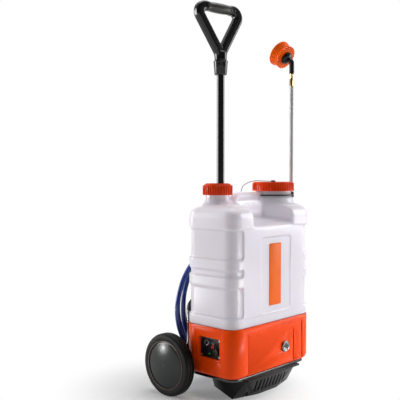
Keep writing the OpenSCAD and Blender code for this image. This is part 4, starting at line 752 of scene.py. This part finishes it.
def make_tank():
    points, quads = surface_nets(tank_field, TANK_LOW, TANK_HIGH, TANK_STEP)
    tank = smooth_mesh("tank_shell", settle(tank_field, points) * MM, quads, TANK)
    cut_bore(tank, FILLER[:2], MOUTH_R, MOUTH_SPAN)
    cut_bore(tank, POLE, TUNNEL_R, TUNNEL_SPAN)
    smooth(tank.data)
    tank.data.set_sharp_from_angle(angle=TANK_SHARP)
    return tank


place(make_tank(), "cart", "tank_skin", "tank")

# ------------------------------------------------------------------ handle grip

GRIP_H, GRIP_HALF_W, GRIP_CORNER_R, GRIP_APEX = 156, 93, 20, 17
GRIP_LEAN, GRIP_TURN = math.radians(-4), math.radians(-6.5)  # as the photo shows it
BAR_START_X, APEX_IN, APEX_OUT = 48.0, [9, 13.5], [1, 1.5]
ARM_HALF_W, ARM_HALF_D, ARM_ROUND = 14.3, 13, 8.5
PALM_R, PALM_SWELL, PALM_SWELL_HALF, PALM_HALF = 13, 2.5, 50, 56
SOCKET_R, SOCKET_H, FOOT_GAP = 18.3, 26, 0.4
# where the palm bar's painted sheen lies: half length, taper and reach from the bar's middle
PALM_SHEEN_HALF, PALM_SHEEN_TAPER, PALM_SHEEN_REACH = 50, 0.6, 17


def grip_line():
    """Right half of the grip's centre line, x and z from the grip's foot, bar end first."""
    corner, apex = np.array([GRIP_HALF_W, GRIP_H], float), np.array([0, GRIP_APEX], float)
    u, v = np.array([-1.0, 0.0]), (apex - corner) / np.linalg.norm(apex - corner)
    half = math.acos(float(u @ v)) / 2
    centre = corner + (u + v) / np.linalg.norm(u + v) * GRIP_CORNER_R / math.sin(half)
    start = corner + u * GRIP_CORNER_R / math.tan(half) - centre
    end = corner + v * GRIP_CORNER_R / math.tan(half) - centre
    a0, a1 = math.atan2(start[1], start[0]), math.atan2(end[1], end[0])
    turn = (a1 - a0 + 3 * math.pi) % (2 * math.pi) - math.pi
    angles = [a0 + turn * i / 8 for i in range(9)]
    arc = [centre + GRIP_CORNER_R * np.array([math.cos(a), math.sin(a)]) for a in angles]
    return [np.array([BAR_START_X, GRIP_H]), *arc, apex + APEX_IN, apex - APEX_OUT]


def segment_distance(u, v, a, b):
    """Distance in the plane from (u, v) to the line from a to b."""
    d = b - a
    t = np.clip(((u - a[0]) * d[0] + (v - a[1]) * d[1]) / (d @ d), 0, 1)
    return np.hypot(u - a[0] - t * d[0], v - a[1] - t * d[1])


def make_grip():
    foot_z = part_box("handle_ferrule")[1].z / MM
    turned = Matrix.Translation((*POLE, foot_z)) @ Matrix.Rotation(GRIP_TURN, 4, "Z")
    back = np.array((turned @ Matrix.Rotation(GRIP_LEAN, 4, "X")).inverted())
    line = grip_line()

    def field(x, y, z):
        u, w, v = (back[i][0] * x + back[i][1] * y + back[i][2] * z + back[i][3] for i in range(3))
        reach = np.full(x.shape, FAR_OFF)
        for a, b in zip(line[:-1], line[1:]):
            reach = np.minimum(reach, segment_distance(np.abs(u), v, a, b))
        arms = box2(reach, w, ARM_HALF_W, ARM_HALF_D, ARM_ROUND)
        r = PALM_R + PALM_SWELL * np.cos(np.clip(u / PALM_SWELL_HALF, -1, 1) * math.pi / 2)
        bar = np.maximum(np.hypot(w, v - GRIP_H) - r, np.abs(u) - PALM_HALF)
        ends = np.maximum(foot_z + FOOT_GAP - z, z - foot_z - SOCKET_H)
        socket = smax(np.hypot(x - POLE[0], y - POLE[1]) - SOCKET_R, ends, 3)
        return smin(smin(arms, bar, 2.5), socket, 5)

    low = (-205.3, 2.3, foot_z - 3.7)
    high = (24, 72, foot_z + GRIP_H + 20)
    points, quads = surface_nets(field, low, high, 2.0)
    points = settle(field, points)
    grip = smooth_mesh("pull_grip", points * MM, quads, GRIP)
    # the palm bar's painted sheen: a lighter black on the bar's faces, a painted reflection
    grip.data.materials.append(PALM_SHEEN)
    middle = points[quads].mean(axis=1)
    u, v = (back[i][:3] @ middle.T + back[i][3] for i in (0, 2))
    off = np.abs(v - GRIP_H)
    sheen_faces = (np.abs(u) < PALM_SHEEN_HALF - off * PALM_SHEEN_TAPER) & (off < PALM_SHEEN_REACH)
    grip.data.polygons.foreach_set("material_index", sheen_faces.astype(int))
    return grip


place(make_grip(), "handle", "black_plastic", "handle_grip")

# ------------------------------------------------------------------ tether

BAR_TOP, LID_EDGE, LID_TOP = BAR_Z + BAR_R, 51.5, 626.0
TETHER_R, TETHER_STEP, SMALL_TUBE_FACETS = 0.95 * MM, 0.004, 3
TETHER = [
    [108.2, 0, LID_TOP + 2.2], [LID_EDGE + 8, 2, LID_TOP + 3.4], [LID_EDGE - 8, 4, LID_TOP + 4.2],
    [LID_EDGE - 26, 7, LID_TOP + 3.2], [LID_EDGE - 44, 11, LID_TOP - 0.8],
    [LID_EDGE - 58, 14, LID_TOP - 6.8], [LID_EDGE - 67, 17, LID_TOP - 14.8],
    [LID_EDGE - 71, 19, BAR_TOP + 1.2],
]


def to_mesh(obj):
    """The same piece with its curve turned into a mesh."""
    select_only(obj)
    bpy.ops.object.convert(target="MESH")
    return bpy.context.object


tether_points = curve_through(np.array(TETHER) * MM, TETHER_STEP)
tether = to_mesh(tube_curve("lid_strap", tether_points, TETHER_R, SOFT, SMALL_TUBE_FACETS))
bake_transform(tether)
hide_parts("lid_tether")

# ------------------------------------------------------------------ tubes inside the base


PORT_Z, OUTLET_X, OUTLET_Z = 155.4, 145, 106
SUCTION = [
    [10, 30, SEAT_Z - 18.2], [10, 30, SEAT_Z - 28], [6, 27, SEAT_Z - 35], [-6, 12, SEAT_Z - 38],
    [-28, -18, SEAT_Z - 37], [-38, -31, PORT_Z + 10], [-40, -35, PORT_Z + 4], [-40, -35, PORT_Z],
]
DELIVERY = [
    [-40, -57, PORT_Z], [-40, -57, PORT_Z + 8], [-44, -50, PORT_Z + 16], [-58, -30, PORT_Z + 16],
    [-66, -4, PORT_Z], [-62, 20, PORT_Z - 34], [-40, 44, PORT_Z - 50], [-10, 58, OUTLET_Z + 8],
    [30, 62, OUTLET_Z], [OUTLET_X - 40, 62, OUTLET_Z], [OUTLET_X - 14, 64, OUTLET_Z],
    [OUTLET_X - 2, 71, OUTLET_Z], [OUTLET_X, 78, OUTLET_Z], [OUTLET_X, 83.8, OUTLET_Z],
]
INNER_R, INNER_STEP = 4.9 * MM, 0.006

for name, line in (("suction_tube", SUCTION), ("delivery_tube", DELIVERY)):
    inner_points = curve_through(np.array(line) * MM, INNER_STEP)
    tube = tube_curve(name, inner_points, INNER_R, HOSE, SMALL_TUBE_FACETS)
    place(tube, "cart", "hose", "inner_hoses")

# ------------------------------------------------------------------ softened edges on the CAD solids


MERGE_WITHIN, FLAT_WITHIN = 1e-6, math.radians(0.6)
EDGE_ANGLE, EDGE_SEGMENTS = math.radians(40), 2
EDGE_WIDTHS = {  # mm
    0.9: ["base_housing"],
    1.1: ["chassis", "front_foot"],
    0.4: ["handle_cap", "filler_lid", "spray_head", "handle_ferrule", "head_coupling", "lance_nut",
          "gun_nut", "neck_clip", "gun_rest", "hose_hook", "hose_outlet"],
    0.3: ["control_panel", "switch_frame", "switch_rocker", "speed_knob", "charge_nut", "gun_body",
          "trigger", "label_plate", "gauge_bezel"],
    0.5: ["tyre_left", "tyre_right", "hub_left", "hub_right", "hub_cap_left", "hub_cap_right"],
}


def soften(obj, width):
    """Modifiers that join the solid's facets into flats and round its edges."""
    join = obj.modifiers.new("join", "WELD")
    join.merge_threshold = MERGE_WITHIN
    flats = obj.modifiers.new("flats", "DECIMATE")
    flats.decimate_type, flats.angle_limit = "DISSOLVE", FLAT_WITHIN
    edges = obj.modifiers.new("edges", "BEVEL")
    edges.width, edges.segments = width * MM, EDGE_SEGMENTS
    edges.limit_method, edges.angle_limit = "ANGLE", EDGE_ANGLE
    edges.harden_normals = True
    edges.use_clamp_overlap = True
    smooth(obj.data)


for width, names in EDGE_WIDTHS.items():
    for name in names:
        soften(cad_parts[name], width)
